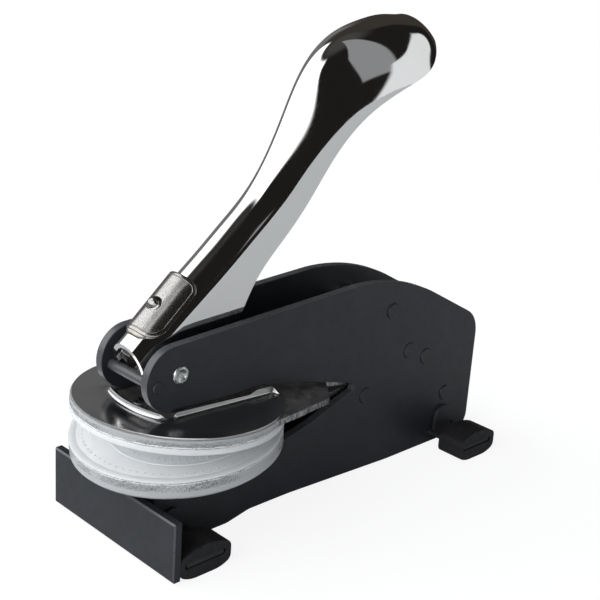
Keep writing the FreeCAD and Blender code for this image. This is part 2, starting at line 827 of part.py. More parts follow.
def handle_side():
    """The handle seen from the side, as a wire in (l, n)."""
    pin = to_handle(front_pin_y, front_pin_z)
    roller = to_handle(*roller_place())
    beak_n = pin[1] + front_pin_r + beak_gap
    rim = [Vector(0, a * handle_l, b * tube_half_w) for a, b in zip(rim_l_shares, rim_n_shares)]
    rim_end = (rim_end_l_share * handle_l, rim_end_n_share * tube_half_w)
    rim.append(yz(rim_end))
    curve = Part.BSplineCurve()
    curve.interpolate(rim)
    high = 2 * handle_w_max()
    far = handle_l + overrun
    top_front = (-beak_top_ahead, grip_t_shares[0] * tube_half_w + overrun)
    lean = (beak_ahead - beak_top_ahead) / (grip_t_shares[0] * tube_half_w - beak_n)
    top_front = (-beak_top_ahead + lean * overrun, top_front[1])
    beak_low = (-beak_ahead, beak_n)
    cheek_high = (-cheek_ahead, beak_n)
    dip = math.sqrt(pivot_boss_r ** 2 - cheek_ahead ** 2)
    cheek_low = (-cheek_ahead, dip)
    rear_end, rear_touch = tangent_points(rim_end, 0, roller, roller_boss_r, 1)
    boss_touch, front_touch = tangent_points(roller, roller_boss_r, (0, 0), pivot_boss_r, 1)
    roller_low = (roller[0] + roller_boss_r * math.cos(-math.pi / 2),
                  roller[1] + roller_boss_r * math.sin(-math.pi / 2))
    mid_turn = (math.atan2(front_touch[1], front_touch[0]) + math.atan2(dip, -cheek_ahead)) / 2
    wrap = math.atan2(dip, -cheek_ahead) % (2 * math.pi)
    start = math.atan2(front_touch[1], front_touch[0]) % (2 * math.pi)
    mid_turn = (wrap + start) / 2
    boss_mid = (pivot_boss_r * math.cos(mid_turn), pivot_boss_r * math.sin(mid_turn))
    points = [(far, rim[0].z), (far, high), (top_front[0], high), top_front, beak_low, cheek_high, cheek_low]
    edges = [Part.makeLine(yz(a), yz(b)) for a, b in zip(points, points[1:])]
    edges.append(Part.Arc(yz(cheek_low), yz(boss_mid), yz(front_touch)).toShape())
    edges.append(Part.makeLine(yz(front_touch), yz(boss_touch)))
    edges.append(Part.Arc(yz(boss_touch), yz(roller_low), yz(rear_touch)).toShape())
    edges.append(Part.makeLine(yz(rear_touch), yz(rim_end)))
    edges.append(curve.toShape())
    edges.append(Part.makeLine(rim[0], yz((far, rim[0].z))))
    return Part.Wire(Part.__sortEdges__(edges))


def handle_w_max():
    return max(grip_t_shares) * tube_half_w


def handle_shell():
    """Bright pressed handle: an arched channel that swells to a hollow grip."""
    span = 2 * tube_half_w * max(grip_w_shares)
    body = grip_body(0).common(prism(handle_side(), -span, span))
    body = body.cut(grip_body(handle_wall))
    roller = to_handle(*roller_place())
    body = body.cut(bar_x(pivot_r + run_gap, 0, 0, -span, span))
    body = body.cut(bar_x(roller_pin_r + rivet_gap, roller[0], roller[1], -span, span))
    body = body.cut(lock_slot())
    return moved(body, handle_place)


def roller_pin():
    y, z = roller_place()
    return bar_x(roller_pin_r, y, z, -tube_half_w, tube_half_w)


def press_roller():
    y, z = roller_place()
    half = handle_inner_half - roller_side_gap
    return tube_x(roller_r, roller_pin_r + run_gap, y, z, -half, half)


# Slide lock, drawn in the handle's frame

def tube_centre_n():
    """Height of the centre of the tube's round top near the lock."""
    return (grip_t_shares[1] - 1) * tube_half_w


def lock_slot():
    """Slot along the handle's ridge that the stud slides in."""
    half = lock_stud_r + slot_gap
    ahead = lock_stud_back - lock_travel
    slot = box(-half, half, ahead, lock_stud_back, 0, 3 * tube_half_w)
    ends = [post(half, 0, l, 0, 3 * tube_half_w) for l in (ahead, lock_stud_back)]
    return slot.fuse(ends)


def lock_plate():
    """Curved thumb plate that slides on the handle's ridge."""
    r_in = tube_half_w + lock_plate_gap
    r_out = r_in + lock_plate_t
    centre = tube_centre_n()
    start = -lock_plate_ahead
    end = start + lock_plate_l
    length = end - start
    ring = Part.makeCylinder(r_out, length, Vector(0, start, centre), Vector(0, 1, 0))
    ring = ring.cut(Part.makeCylinder(r_in, length + 2 * overrun, Vector(0, start - overrun, centre),
                                      Vector(0, 1, 0)))
    reach = r_out * 2
    angle = math.radians(lock_plate_angle)
    edge = Vector(reach * math.sin(angle), start - overrun, centre + reach * math.cos(angle))
    wedge = Part.makePolygon([Vector(0, start - overrun, centre), edge,
                              Vector(0, start - overrun, centre + reach * 2),
                              Vector(-edge.x, edge.y, edge.z), Vector(0, start - overrun, centre)])
    wedge = Part.Face(wedge).extrude(Vector(0, length + 2 * overrun, 0))
    plate = ring.common(wedge)
    hole = post(lock_stud_r + rivet_gap, 0, lock_stud_back, centre, centre + r_out + overrun)
    return moved(plate.cut(hole).removeSplitter(), handle_place)


def lock_bar():
    """Bent strip inside the handle whose nose slides over the front pin."""
    t = lock_bar_t
    tip = -lock_tip_ahead
    nose_back = tip + lock_nose_l
    low = lock_nose_n
    step = lock_pass_n
    seat = lock_seat_n
    bend = nose_back + step - low
    back_by = t * lock_bend_share
    side = outline(
        (tip, low), ((nose_back, low),), ((bend, step),), ((lock_rise_back, step),),
        ((lock_seat_back, seat),), ((lock_bar_back, seat),), ((lock_bar_back, seat + t),),
        ((lock_seat_back - back_by, seat + t),), ((lock_rise_back - back_by, step + t),),
        ((bend - back_by, step + t),), ((nose_back - back_by, low + t),), ((tip, low + t),))
    half = lock_bar_w / 2
    bar = prism(side, -half, half)
    bar = bar.cut(post(lock_stud_r + rivet_gap, 0, lock_stud_back, seat - overrun, seat + overrun))
    return moved(bar, handle_place)


def lock_stud():
    """Dome-headed rivet that joins the thumb plate and the bar through the handle's slot."""
    top = tube_centre_n() + tube_half_w + lock_plate_gap + lock_plate_t
    low = lock_seat_n
    shank = post(lock_stud_r, 0, lock_stud_back, low - lock_stud_head_t, top)
    dome = Part.makeSphere(lock_bump_r)
    dome.translate(Vector(0, lock_stud_back, top - lock_bump_r + lock_bump_h))
    shank = shank.fuse(dome.common(post(lock_bump_r * 2, 0, lock_stud_back, top, top + lock_bump_h)))
    foot = post(lock_stud_head_r, 0, lock_stud_back, low - lock_stud_head_t, low)
    return moved(shank.fuse(foot).removeSplitter(), handle_place)


def export_all():
    plate_right = side_plate()
    stop_y = stop_pin_y()
    parts = {
        "side_plate_right": plate_right,
        "side_plate_left": mirrored(plate_right),
        "front_bracket": front_bracket(),
        "front_foot_bar": foot_bar(front_bar_y),
        "rear_foot_bar": foot_bar(rear_bar_y),
        "rubber_foot_front_right": rubber_foot(front_bar_y, 1),
        "rubber_foot_front_left": rubber_foot(front_bar_y, -1),
        "rubber_foot_rear_right": rubber_foot(rear_bar_y, 1),
        "rubber_foot_rear_left": rubber_foot(rear_bar_y, -1),
        "handle_pivot_rivet": handle_pivot_rivet(),
        "pivot_spacers": pivot_spacers(),
        "front_cross_pin": front_cross_pin(),
        "rear_top_rivet": headed_rivet(top_rivet_r, top_rivet_y, top_rivet_z, rivet_head_r, rivet_head_t),
        "rear_top_spacer": spacer(top_rivet_r, top_rivet_y, top_rivet_z),
        "rear_bottom_rivet": headed_rivet(top_rivet_r, bottom_rivet_y, bottom_rivet_z,
                                          rivet_head_r, rivet_head_t),
        "rear_bottom_spacer": spacer(top_rivet_r, bottom_rivet_y, bottom_rivet_z),
        "lower_seat_pin": seat_pin(low_seat_y, low_seat_z()),
        "upper_seat_pin": seat_pin(high_seat_y, high_seat_z()),
        "insert_stop_pin": seat_pin(stop_y, stop_pin_z()),
        "lower_leaf": lower_leaf(),
        "upper_leaf": upper_leaf(),
        "insert_rivets": insert_rivets(),
        "lower_carrier": lower_carrier(),
        "upper_carrier": upper_carrier(),
        "lower_die_holder": lower_holder(),
        "upper_die_holder": upper_holder(),
        "lower_die": lower_die(),
        "upper_die": upper_die(),
        "lower_die_screws": lower_die_screws(),
        "upper_die_screws": upper_die_screws(),
        "handle_shell": handle_shell(),
        "roller_pin": roller_pin(),
        "press_roller": press_roller(),
        "lock_plate": lock_plate(),
        "lock_bar": lock_bar(),
        "lock_stud": lock_stud(),
    }
    tilt = math.radians(lower_tilt_angle)
    front_y = -ring_r * math.cos(tilt) - lower_stack * math.sin(tilt)
    centre_y = (front_y + rear_edge_y) / 2
    os.makedirs("parts", exist_ok=True)
    for node, shape in parts.items():
        shape.translate(Vector(0, -centre_y, 0))
        shape.exportStep("parts/" + node + ".step")
        print(node, len(shape.Solids), shape.isValid(), round(shape.Volume, 1))
    print("die axis stands at y =", round(-centre_y, 3))


export_all()
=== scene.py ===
import json
import math

import bmesh
import bpy
from mathutils import Matrix, Vector

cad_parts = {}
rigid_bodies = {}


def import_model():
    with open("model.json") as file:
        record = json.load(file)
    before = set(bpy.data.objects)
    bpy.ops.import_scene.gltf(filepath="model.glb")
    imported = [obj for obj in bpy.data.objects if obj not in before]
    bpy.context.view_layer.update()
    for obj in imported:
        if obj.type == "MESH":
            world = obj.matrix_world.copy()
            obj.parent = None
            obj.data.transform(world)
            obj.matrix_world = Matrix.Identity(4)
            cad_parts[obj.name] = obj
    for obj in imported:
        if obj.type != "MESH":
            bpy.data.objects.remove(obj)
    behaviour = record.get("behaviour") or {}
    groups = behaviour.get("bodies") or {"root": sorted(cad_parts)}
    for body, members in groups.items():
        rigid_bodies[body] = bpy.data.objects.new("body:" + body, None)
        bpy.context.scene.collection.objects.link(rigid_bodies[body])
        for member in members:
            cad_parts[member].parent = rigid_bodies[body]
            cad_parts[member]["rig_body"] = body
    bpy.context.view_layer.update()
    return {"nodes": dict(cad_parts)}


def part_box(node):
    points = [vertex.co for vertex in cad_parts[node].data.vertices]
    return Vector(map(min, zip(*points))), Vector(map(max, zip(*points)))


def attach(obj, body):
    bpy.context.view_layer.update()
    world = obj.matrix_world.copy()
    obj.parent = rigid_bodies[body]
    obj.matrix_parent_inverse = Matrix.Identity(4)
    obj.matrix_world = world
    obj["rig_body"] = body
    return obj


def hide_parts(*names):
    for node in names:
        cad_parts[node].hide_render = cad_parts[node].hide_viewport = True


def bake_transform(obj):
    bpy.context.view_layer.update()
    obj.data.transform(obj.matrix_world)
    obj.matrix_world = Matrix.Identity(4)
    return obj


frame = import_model()

# All sizes are in millimetres, in the press's own frame: y is counted from the dies' axis
MM = 0.001
MICRON = 0.001
DIE_AXIS_Y = -43.834

LOWER_TILT = 5.4
LOWER_Z = 25.17
JAW_OPEN = 8.28
FLEX_Y = 31.27
FLEX_Z = 1.39
PIVOT_Y = -8.9
PIVOT_Z = 51.5
LEVER_ANGLE = 41.47

RING_R = 30.0
CARRIER_R = 29.6
PLUG_R = 22.5
LOWER_STACK = 4.95
LOWER_FLANGE = 0.5
CLOSED_GAP = 0.15
UPPER_FLANGE = 1.85
CARRIER_T = 0.7

TUBE_W = 6.5
WALL = 1.2
LEVER_L = 126.6
LEVER_END = 127.7
ROLLER_AT = (2.853, -14.289)
ROLLER_BOSS_R = 2.9
PIVOT_BOSS_R = 4.7
BEAK_TOP = (-3.0, 12.35)
BEAK_LOW = (-6.3, 5.25)
CHEEK_L = -4.55
TUBE_START_L = 6.0
RIM_END = (24.43, -9.04)

# Sections of the lever: where they stand as shares of its length, and their half width, top, arch
# and rim as shares of TUBE_W
L_SHARES = (-0.055, 0.06, 0.16, 0.24, 0.33, 0.41, 0.49, 0.585, 0.68, 0.76, 0.83, 0.893, 0.948, 0.985,
            1.0)
W_SHARES = (1.0, 1.0, 1.0, 1.0, 1.0, 1.01, 1.06, 1.24, 1.49, 1.72, 1.85, 1.84, 1.60, 1.26, 0.90)
T_SHARES = (1.90, 1.86, 1.76, 1.68, 1.64, 1.66, 1.97, 2.66, 3.42, 3.64, 3.35, 2.74, 2.00, 1.32, 0.92)
ARCH_SHARES = (1.0, 1.0, 1.0, 1.0, 1.0, 1.06, 1.28, 1.82, 2.66, 3.12, 3.20, 3.04, 2.48, 1.54, 1.10)
RIM_L_SHARES = (0.193, 0.28, 0.395, 0.49, 0.585, 0.68, 0.76, 0.83, 0.893, 0.948, 0.987)
RIM_N_SHARES = (-1.39, -0.785, -0.57, -0.325, 0.185, 0.44, 0.35, 0.04, -0.41, -0.58, -0.28)
NOSE_T = 2.2
NOSE_RIM = 0.2
NOSE_ARCH_SHARE = 0.8

# Where the grip's sides curl in
TUCK_START_L = 56.0
TUCK_END_L = 92.0
TUCK_ANGLE = 24.0
TUCK_LAST_L = 112.0

# How finely the lever is drawn
RISE_COLUMNS = 16
LONG_COLUMNS = 84
END_COLUMNS = 22
END_COLUMNS_L = 118.0
ARCH_STEPS = 22
SIDE_STEPS = 9

# Widths of the rounds on the pieces' edges
LEVER_ROUND = 0.32
HOLDER_ROUNDS = (0.35, 0.3)
PLATE_ROUND = 0.3
FOOT_ROUND = 0.45
BAR_ROUND = 0.18
PIN_ROUND = 0.2
CROSS_PIN_ROUND = 0.22
SMALL_ROUND = 0.12

# The photograph's camera, in metres
CAMERA_AT = (0.244198, -0.243467, 0.181939)
CAMERA_RIGHT = (0.6895, 0.7213, 0.065)
CAMERA_DOWN = (0.2863, -0.189, -0.9393)
CAMERA_AHEAD = (-0.6653, 0.6663, -0.3369)
LENS = 74.24
SENSOR_W = 36.0


def placed(angle, y, z, about=(0.0, 0.0)):
    """A turn about X at about, then a move by y and z."""
    centre = Vector((0, about[0], about[1]))
    turn = Matrix.Rotation(math.radians(angle), 4, "X")
    return Matrix.Translation(Vector((0, y, z)) + centre) @ turn @ Matrix.Translation(-centre)


press = Matrix.Scale(MM, 4) @ Matrix.Translation((0, DIE_AXIS_Y, 0))
lower = press @ placed(LOWER_TILT, 0, LOWER_Z)
upper = lower @ placed(-JAW_OPEN, 0, 0, (FLEX_Y, FLEX_Z))
lever = press @ placed(LEVER_ANGLE, PIVOT_Y, PIVOT_Z)


# Materials


class Nodes:
    """Short ways to add nodes to a tree."""

    def __init__(self, tree):
        self.tree = tree

    def node(self, kind, **settings):
        made = self.tree.nodes.new(kind)
        for key, value in settings.items():
            setattr(made, key, value)
        return made

    def link(self, a, b):
        self.tree.links.new(a, b)

    def feed(self, value, socket):
        """Gives the socket a number, a colour or another socket's output."""
        if isinstance(value, tuple):
            socket.default_value = (*value, 1)
        elif isinstance(value, (int, float)):
            socket.default_value = value
        else:
            self.link(value, socket)

    def math(self, operation, a, b=None):
        made = self.node("ShaderNodeMath", operation=operation)
        self.feed(a, made.inputs[0])
        if b is not None:
            self.feed(b, made.inputs[1])
        return made.outputs[0]

    def mix(self, factor, a, b):
        made = self.node("ShaderNodeMix", data_type="RGBA")
        self.link(factor, made.inputs["Factor"])
        self.feed(a, made.inputs["A"])
        self.feed(b, made.inputs["B"])
        return made.outputs["Result"]

    def spans(self, value, low, high, to_low=0.0, to_high=1.0, smooth=False):
        """Value carried from the range low to high to the range to_low to to_high."""
        made = self.node("ShaderNodeMapRange")
        if smooth:
            made.interpolation_type = "SMOOTHSTEP"
        made.inputs["From Min"].default_value = low
        made.inputs["From Max"].default_value = high
        made.inputs["To Min"].default_value = to_low
        made.inputs["To Max"].default_value = to_high
        self.link(value, made.inputs["Value"])
        return made.outputs["Result"]

    def split(self, coords):
        made = self.node("ShaderNodeSeparateXYZ")
        self.link(coords, made.inputs["Vector"])
        return made.outputs


class Paint(Nodes):
    """A node material on one Principled shader, with helpers that add detail to it."""

    def __init__(self, name, color, roughness, metallic=0.0, **sockets):
        self.material = bpy.data.materials.new(name)
        self.material.use_nodes = True
        super().__init__(self.material.node_tree)
        self.shader = self.tree.nodes["Principled BSDF"]
        self.shader.inputs["Base Color"].default_value = (*color, 1)
        self.shader.inputs["Roughness"].default_value = roughness
        self.shader.inputs["Metallic"].default_value = metallic
        for socket, value in sockets.items():
            self.shader.inputs[socket.replace("_", " ")].default_value = value
        self.color = color
        self.roughness = roughness
        self.coords = self.node("ShaderNodeTexCoord").outputs["Object"]

    def local(self, place):
        """Coordinates in millimetres in the frame of place."""
        back = place.inverted()
        spin = back.to_3x3().normalized().to_euler()
        mapping = self.node("ShaderNodeMapping")
        mapping.inputs["Location"].default_value = back.to_translation()
        mapping.inputs["Rotation"].default_value = spin
        mapping.inputs["Scale"].default_value = back.to_scale()
        self.link(self.coords, mapping.inputs["Vector"])
        return mapping.outputs["Vector"]

    def stretched(self, coords, scale):
        mapping = self.node("ShaderNodeMapping")
        mapping.inputs["Scale"].default_value = scale
        self.link(coords, mapping.inputs["Vector"])
        return mapping.outputs["Vector"]

    def noise(self, grain_mm, detail=3.0, coords=None, unit=MM):
        """Soft noise whose grain is about grain_mm across."""
        made = self.node("ShaderNodeTexNoise")
        made.inputs["Scale"].default_value = 1 / (grain_mm * unit)
        made.inputs["Detail"].default_value = detail
        self.link(coords or self.coords, made.inputs["Vector"])
        return made.outputs["Fac"]

    def vary_roughness(self, value, swing, low=0.35, high=0.65):
        ranged = self.spans(value, low, high, self.roughness - swing, self.roughness + swing)
        self.link(ranged, self.shader.inputs["Roughness"])

    def tint(self, factor, color, source=None):
        """Mixes the colour towards another where factor is high."""
        mixed = self.mix(factor, self.color if source is None else source, color)
        self.link(mixed, self.shader.inputs["Base Color"])
        return mixed

    def bump(self, height, depth_mm, strength=1.0, after=None):
        made = self.node("ShaderNodeBump")
        made.inputs["Distance"].default_value = depth_mm * MM
        made.inputs["Strength"].default_value = strength
        self.link(height, made.inputs["Height"])
        if after is not None:
            self.link(after, made.inputs["Normal"])
        self.link(made.outputs["Normal"], self.shader.inputs["Normal"])
        return made.outputs["Normal"]


def black_paint(name, color, roughness):
    """Satin black powder coat: a fine orange peel, a few pale specks, faint cloudy wear."""
    paint = Paint(name, color, roughness, Specular_IOR_Level=0.42)
    specks = paint.spans(paint.noise(0.45, 1.0), 0.76, 0.80, 0.0, 0.5)
    dusty = paint.tint(specks, (0.16, 0.165, 0.17))
    clouds = paint.spans(paint.noise(9.0, 4.0), 0.45, 0.75, 0.0, 0.35)
    paint.tint(clouds, tuple(c * 1.7 for c in color), dusty)
    paint.vary_roughness(paint.noise(3.0, 4.0), 0.06)
    peel = paint.bump(paint.noise(0.55, 2.0), 0.012, 0.5)
    paint.bump(paint.noise(4.0, 2.0), 0.02, 0.3, peel)
    return paint.material


def rubber():
    paint = Paint("foot_rubber", (0.016, 0.016, 0.018), 0.62, Specular_IOR_Level=0.35)
    paint.tint(paint.spans(paint.noise(1.2, 4.0), 0.5, 0.8, 0.0, 0.5), (0.035, 0.035, 0.037))
    paint.vary_roughness(paint.noise(2.5), 0.08)
    paint.bump(paint.noise(0.35, 3.0), 0.02, 0.6)
    return paint.material


def mirror_chrome():
    """Bright plating with faint wiping marks and a very slight waviness of the sheet."""
    paint = Paint("handle_chrome", (0.86, 0.855, 0.85), 0.045, 1.0)
    along = paint.local(lever)
    wipes = paint.noise(1.0, 4.0, paint.stretched(along, (2.5, 0.12, 2.5)), 1.0)
    paint.vary_roughness(wipes, 0.022)
    smears = paint.spans(paint.noise(14.0, 3.0), 0.5, 0.75, 0.0, 0.35)
    paint.tint(smears, (0.78, 0.77, 0.755))
    wave = paint.bump(paint.noise(11.0, 1.0), 0.03, 0.5)
    paint.bump(wipes, 0.0006, 0.4, wave)
    return paint.material


def nickel(name, color, roughness):
    """Bright sheet with drawing marks, a little duller and warmer than the lever."""
    paint = Paint(name, color, roughness, 1.0)
    clouds = paint.noise(8.0, 4.0)
    paint.vary_roughness(clouds, 0.03)
    paint.tint(paint.spans(clouds, 0.48, 0.75, 0.0, 0.4), tuple(c * 0.83 for c in color))
    fine = paint.bump(paint.noise(0.35, 3.0), 0.0015, 0.5)
    paint.bump(paint.noise(14.0, 1.0), 0.03, 0.4, fine)
    return paint.material


def worn_chrome():
    """The thumb plate: satin from use, with a fine grain and small scratches."""
    paint = Paint("lock_chrome", (0.33, 0.325, 0.318), 0.20, 1.0)
    wear = paint.noise(0.3, 4.0)
    paint.vary_roughness(wear, 0.05)
    paint.tint(paint.spans(wear, 0.46, 0.66, 0.0, 0.8), (0.16, 0.157, 0.152))
    paint.bump(paint.noise(0.2, 3.0), 0.007, 0.5)
    return paint.material


def plain_steel(name, color, roughness, grain=0.006):
    paint = Paint(name, color, roughness, 1.0)
    paint.vary_roughness(paint.noise(1.5, 4.0), 0.08)
    paint.tint(paint.spans(paint.noise(3.0, 4.0), 0.5, 0.75, 0.0, 0.5), tuple(c * 0.75 for c in color))
    paint.bump(paint.noise(0.3, 3.0), grain, 0.5)
    return paint.material


def zinc_sheet():
    """Dull zinc-coated sheet, with the crystal pattern such a coating has."""
    paint = Paint("leaf_steel", (0.50, 0.49, 0.48), 0.50, 1.0)
    cells = paint.node("ShaderNodeTexVoronoi", feature="F1")
    crystal_mm = 2.6
    cells.inputs["Scale"].default_value = 1 / (crystal_mm * MM)
    paint.link(paint.coords, cells.inputs["Vector"])
    shade = paint.node("ShaderNodeSeparateColor")
    paint.link(cells.outputs["Color"], shade.inputs["Color"])
    paint.tint(paint.spans(shade.outputs["Red"], 0.0, 1.0, 0.0, 0.75), (0.34, 0.335, 0.33))
    paint.vary_roughness(shade.outputs["Green"], 0.07, 0.0, 1.0)
    paint.bump(paint.noise(0.5, 4.0), 0.01, 0.5)
    return paint.material


def sheared_edge():
    """The leaf's cut edge: bright metal with torn, dark stripes across it."""
    paint = Paint("leaf_edge", (0.50, 0.505, 0.51), 0.32, 1.0)
    streaks = paint.noise(0.45, 4.0, paint.stretched(paint.local(upper), (1.0, 1.0, 0.3)), 1.0)
    paint.tint(paint.spans(streaks, 0.44, 0.56, 0.0, 0.95), (0.12, 0.125, 0.13))
    paint.vary_roughness(streaks, 0.12)
    paint.bump(streaks, 0.08, 0.8)
    return paint.material


def clear_plastic(name, place, color, rough_from, rough_to, cut_z):
    """Clear plastic, finely scratched between two heights, with painted highlights along the scratches
    and a torn line at the cut.
    """
    paint = Paint(name, color, 0.22, Transmission_Weight=0.45, IOR=1.46)
    at = paint.split(paint.local(place))
    height = at["Z"]
    turn = paint.math("MULTIPLY", paint.math("ARCTAN2", at["Y"], at["X"]), RING_R)
    around = paint.node("ShaderNodeCombineXYZ")
    paint.link(turn, around.inputs["X"])
    paint.link(height, around.inputs["Y"])
    unrolled = around.outputs["Vector"]
    lines = paint.noise(0.32, 3.0, paint.stretched(unrolled, (1.0, 0.4, 1.0)), 1.0)
    patches = paint.noise(13.0, 2.0, unrolled, 1.0)
    specks = paint.noise(0.5, 3.0, paint.stretched(unrolled, (0.6, 1.3, 1.0)), 1.0)
    band = paint.math("MULTIPLY", paint.spans(height, rough_from, rough_from + 0.35, 0.0, 1.0, True),
                      paint.spans(height, rough_to - 0.25, rough_to, 1.0, 0.0, True))
    scratched = paint.math("MULTIPLY", band, paint.spans(patches, 0.42, 0.56, 0.12, 1.0))
    cut = paint.math("ABSOLUTE", paint.math("SUBTRACT", height, cut_z))
    torn = paint.spans(cut, 0.14, 0.34, 1.0, 0.0, True)
    shaded = paint.math("MULTIPLY", scratched, paint.spans(lines, 0.42, 0.60, 0.0, 1.0))
    duller = paint.tint(shaded, tuple(c * 0.30 for c in color))
    dark = paint.math("MULTIPLY", torn, paint.spans(specks, 0.49, 0.53, 0.0, 0.85))
    spotted = paint.tint(dark, tuple(c * 0.25 for c in color), duller)
    # White glints along the scratches are painted highlights; the white specks of the torn line are the
    # tear's own
    bright = paint.math("MULTIPLY", torn, paint.spans(specks, 0.45, 0.48, 0.95, 0.0))
    glints = paint.math("MULTIPLY", scratched, paint.spans(lines, 0.36, 0.44, 0.8, 0.0))
    paint.tint(paint.math("MAXIMUM", bright, glints), (0.97, 0.98, 0.99), spotted)
    paint.vary_roughness(paint.math("MULTIPLY", scratched, lines), 0.12, 0.0, 0.6)
    ribs = paint.bump(paint.math("MULTIPLY", lines, scratched), 0.14, 0.9)
    paint.bump(paint.math("MULTIPLY", specks, torn), 0.10, 0.8, ribs)
    return paint.material


def white_plastic(name, color, depth):
    """White translucent plastic, with faint clouds and a moulded skin."""
    paint = Paint(name, color, 0.38, Subsurface_Weight=depth, Subsurface_Scale=0.003,
                  Subsurface_Radius=(1.0, 1.0, 1.0))
    paint.tint(paint.spans(paint.noise(6.0, 4.0), 0.48, 0.75, 0.0, 0.5), tuple(c * 0.92 for c in color))
    paint.vary_roughness(paint.noise(2.0, 3.0), 0.06)
    paint.bump(paint.noise(0.5, 3.0), 0.008, 0.5)
    return paint.material


black = black_paint("black_paint", (0.0175, 0.0195, 0.0245), 0.40)
# A lighter copy of the black paint for the plates' cut edges, the bracket's chamfers and the cross pin's
# body: a painted highlight for the light they catch
black_highlight = black_paint("black_paint_highlight", (0.068, 0.071, 0.079), 0.31)
foot_steel = black_paint("foot_steel", (0.024, 0.025, 0.028), 0.45)
foot_rubber = rubber()
chrome = mirror_chrome()
nickel_plate = nickel("nickel_plate", (0.55, 0.55, 0.55), 0.20)
# The lip's copy of the nickel: rougher for its drawn finish, and darker as painted shade for the dim
# reflections on the lip wall
nickel_drawn_shaded = nickel("nickel_drawn_shaded", (0.34, 0.35, 0.36), 0.30)
lock_chrome = worn_chrome()
bare_steel = plain_steel("bare_steel", (0.60, 0.60, 0.60), 0.28)
rivet_steel = plain_steel("rivet_steel", (0.62, 0.63, 0.63), 0.30, 0.002)
leaf_steel = zinc_sheet()
leaf_edge = sheared_edge()
clear_upper = clear_plastic("clear_plastic_upper", upper, (0.82, 0.84, 0.86), 7.2, 8.7, 7.16)
clear_lower = clear_plastic("clear_plastic_lower", lower, (0.84, 0.865, 0.89), 1.7, 4.0, 4.15)
die_white = white_plastic("white_plastic", (0.84, 0.86, 0.875), 0.4)
die_relief = white_plastic("white_plastic_relief", (0.84, 0.86, 0.875), 0.0)


# Mesh helpers

# Angles in degrees: edges sharper than CREASE stay sharp, faces within FLAT of each other are joined
CREASE = 32.0
FLAT = 0.4


def crease(work, limit):
    """Smooth faces, with sharp edges where two faces meet at more than limit degrees."""
    for face in work.faces:
        face.smooth = True
    for edge in work.edges:
        if len(edge.link_faces) == 2:
            edge.smooth = edge.calc_face_angle() < math.radians(limit)


def edge_round(obj, width_mm, limit=CREASE):
    """Rounds the piece's edges."""
    made = obj.modifiers.new("edge_round", "BEVEL")
    made.width = width_mm * MM
    made.segments = 3
    made.limit_method = "ANGLE"
    made.angle_limit = math.radians(limit)
    made.harden_normals = True
    made.miter_outer = "MITER_ARC"


def settle(obj, body, nodes):
    """Hangs the piece on its body, if it has one, and lets it stand for its CAD nodes."""
    bpy.context.scene.collection.objects.link(obj)
    if body:
        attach(obj, body)
    if nodes:
        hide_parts(*nodes)
    return obj


def piece(name, points, faces, place, body, slot, nodes, *materials, limit=40.0):
    """A new piece from points in the frame of place."""
    mesh = bpy.data.meshes.new(name)
    mesh.from_pydata([place @ Vector(p) for p in points], [], faces)
    work = bmesh.new()
    work.from_mesh(mesh)
    bmesh.ops.remove_doubles(work, verts=work.verts, dist=MM * MICRON)
    bmesh.ops.recalc_face_normals(work, faces=work.faces)
    crease(work, limit)
    work.to_mesh(mesh)
    work.free()
    for material in materials:
        mesh.materials.append(material)
    obj = bpy.data.objects.new(name, mesh)
    return settle(obj, body, nodes)


def dressed(node, *materials, width, is_second=None, bends=False):
    """The CAD node's own shape with its edges rounded, in place of the node."""
    source = frame["nodes"][node]
    work = bmesh.new()
    work.from_mesh(source.data)
    bmesh.ops.remove_doubles(work, verts=work.verts, dist=MM * MICRON)
    bmesh.ops.dissolve_limit(work, angle_limit=math.radians(FLAT), verts=work.verts, edges=work.edges)
    crease(work, CREASE)
    for face in work.faces:
        face.material_index = 1 if is_second and is_second(face) else 0
    mesh = bpy.data.meshes.new(node + "_skin")
    work.to_mesh(mesh)
    work.free()
    if "custom_normal" in mesh.attributes:
        mesh.attributes.remove(mesh.attributes["custom_normal"])
    for material in materials:
        mesh.materials.append(material)
    obj = bpy.data.objects.new(node + "_skin", mesh)
    edge_round(obj, width)
    return settle(obj, None if bends else source["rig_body"], [node])


def ring_points(profile, steps):
    """Points and faces of a profile of (r, z) turned about Z."""
    points = []
    faces = []
    count = len(profile)
    for i in range(steps):
        turn = 2 * math.pi * i / steps
        for r, z in profile:
            points.append((r * math.cos(turn), r * math.sin(turn), z))
    for i in range(steps):
        following = (i + 1) % steps
        for k in range(count - 1):
            a = i * count + k
            b = following * count + k
            faces.append((a, b, b + 1, a + 1))
    return points, faces


def join_rows(faces, base, rows, count, is_round=True):
    """Quads between rows of count points each, that follow on from the point base."""
    for j in range(rows - 1):
        for k in range(count if is_round else count - 1):
            a = base + j * count + k
            b = base + j * count + (k + 1) % count
            faces.append((a, b, b + count, a + count))


def add_tip(points, faces, count, tip):
    """Closes the last count points with one point in their middle."""
    top = len(points)
    points.append(tip)
    faces.extend([(top - count + k, top - count + (k + 1) % count, top) for k in range(count)])


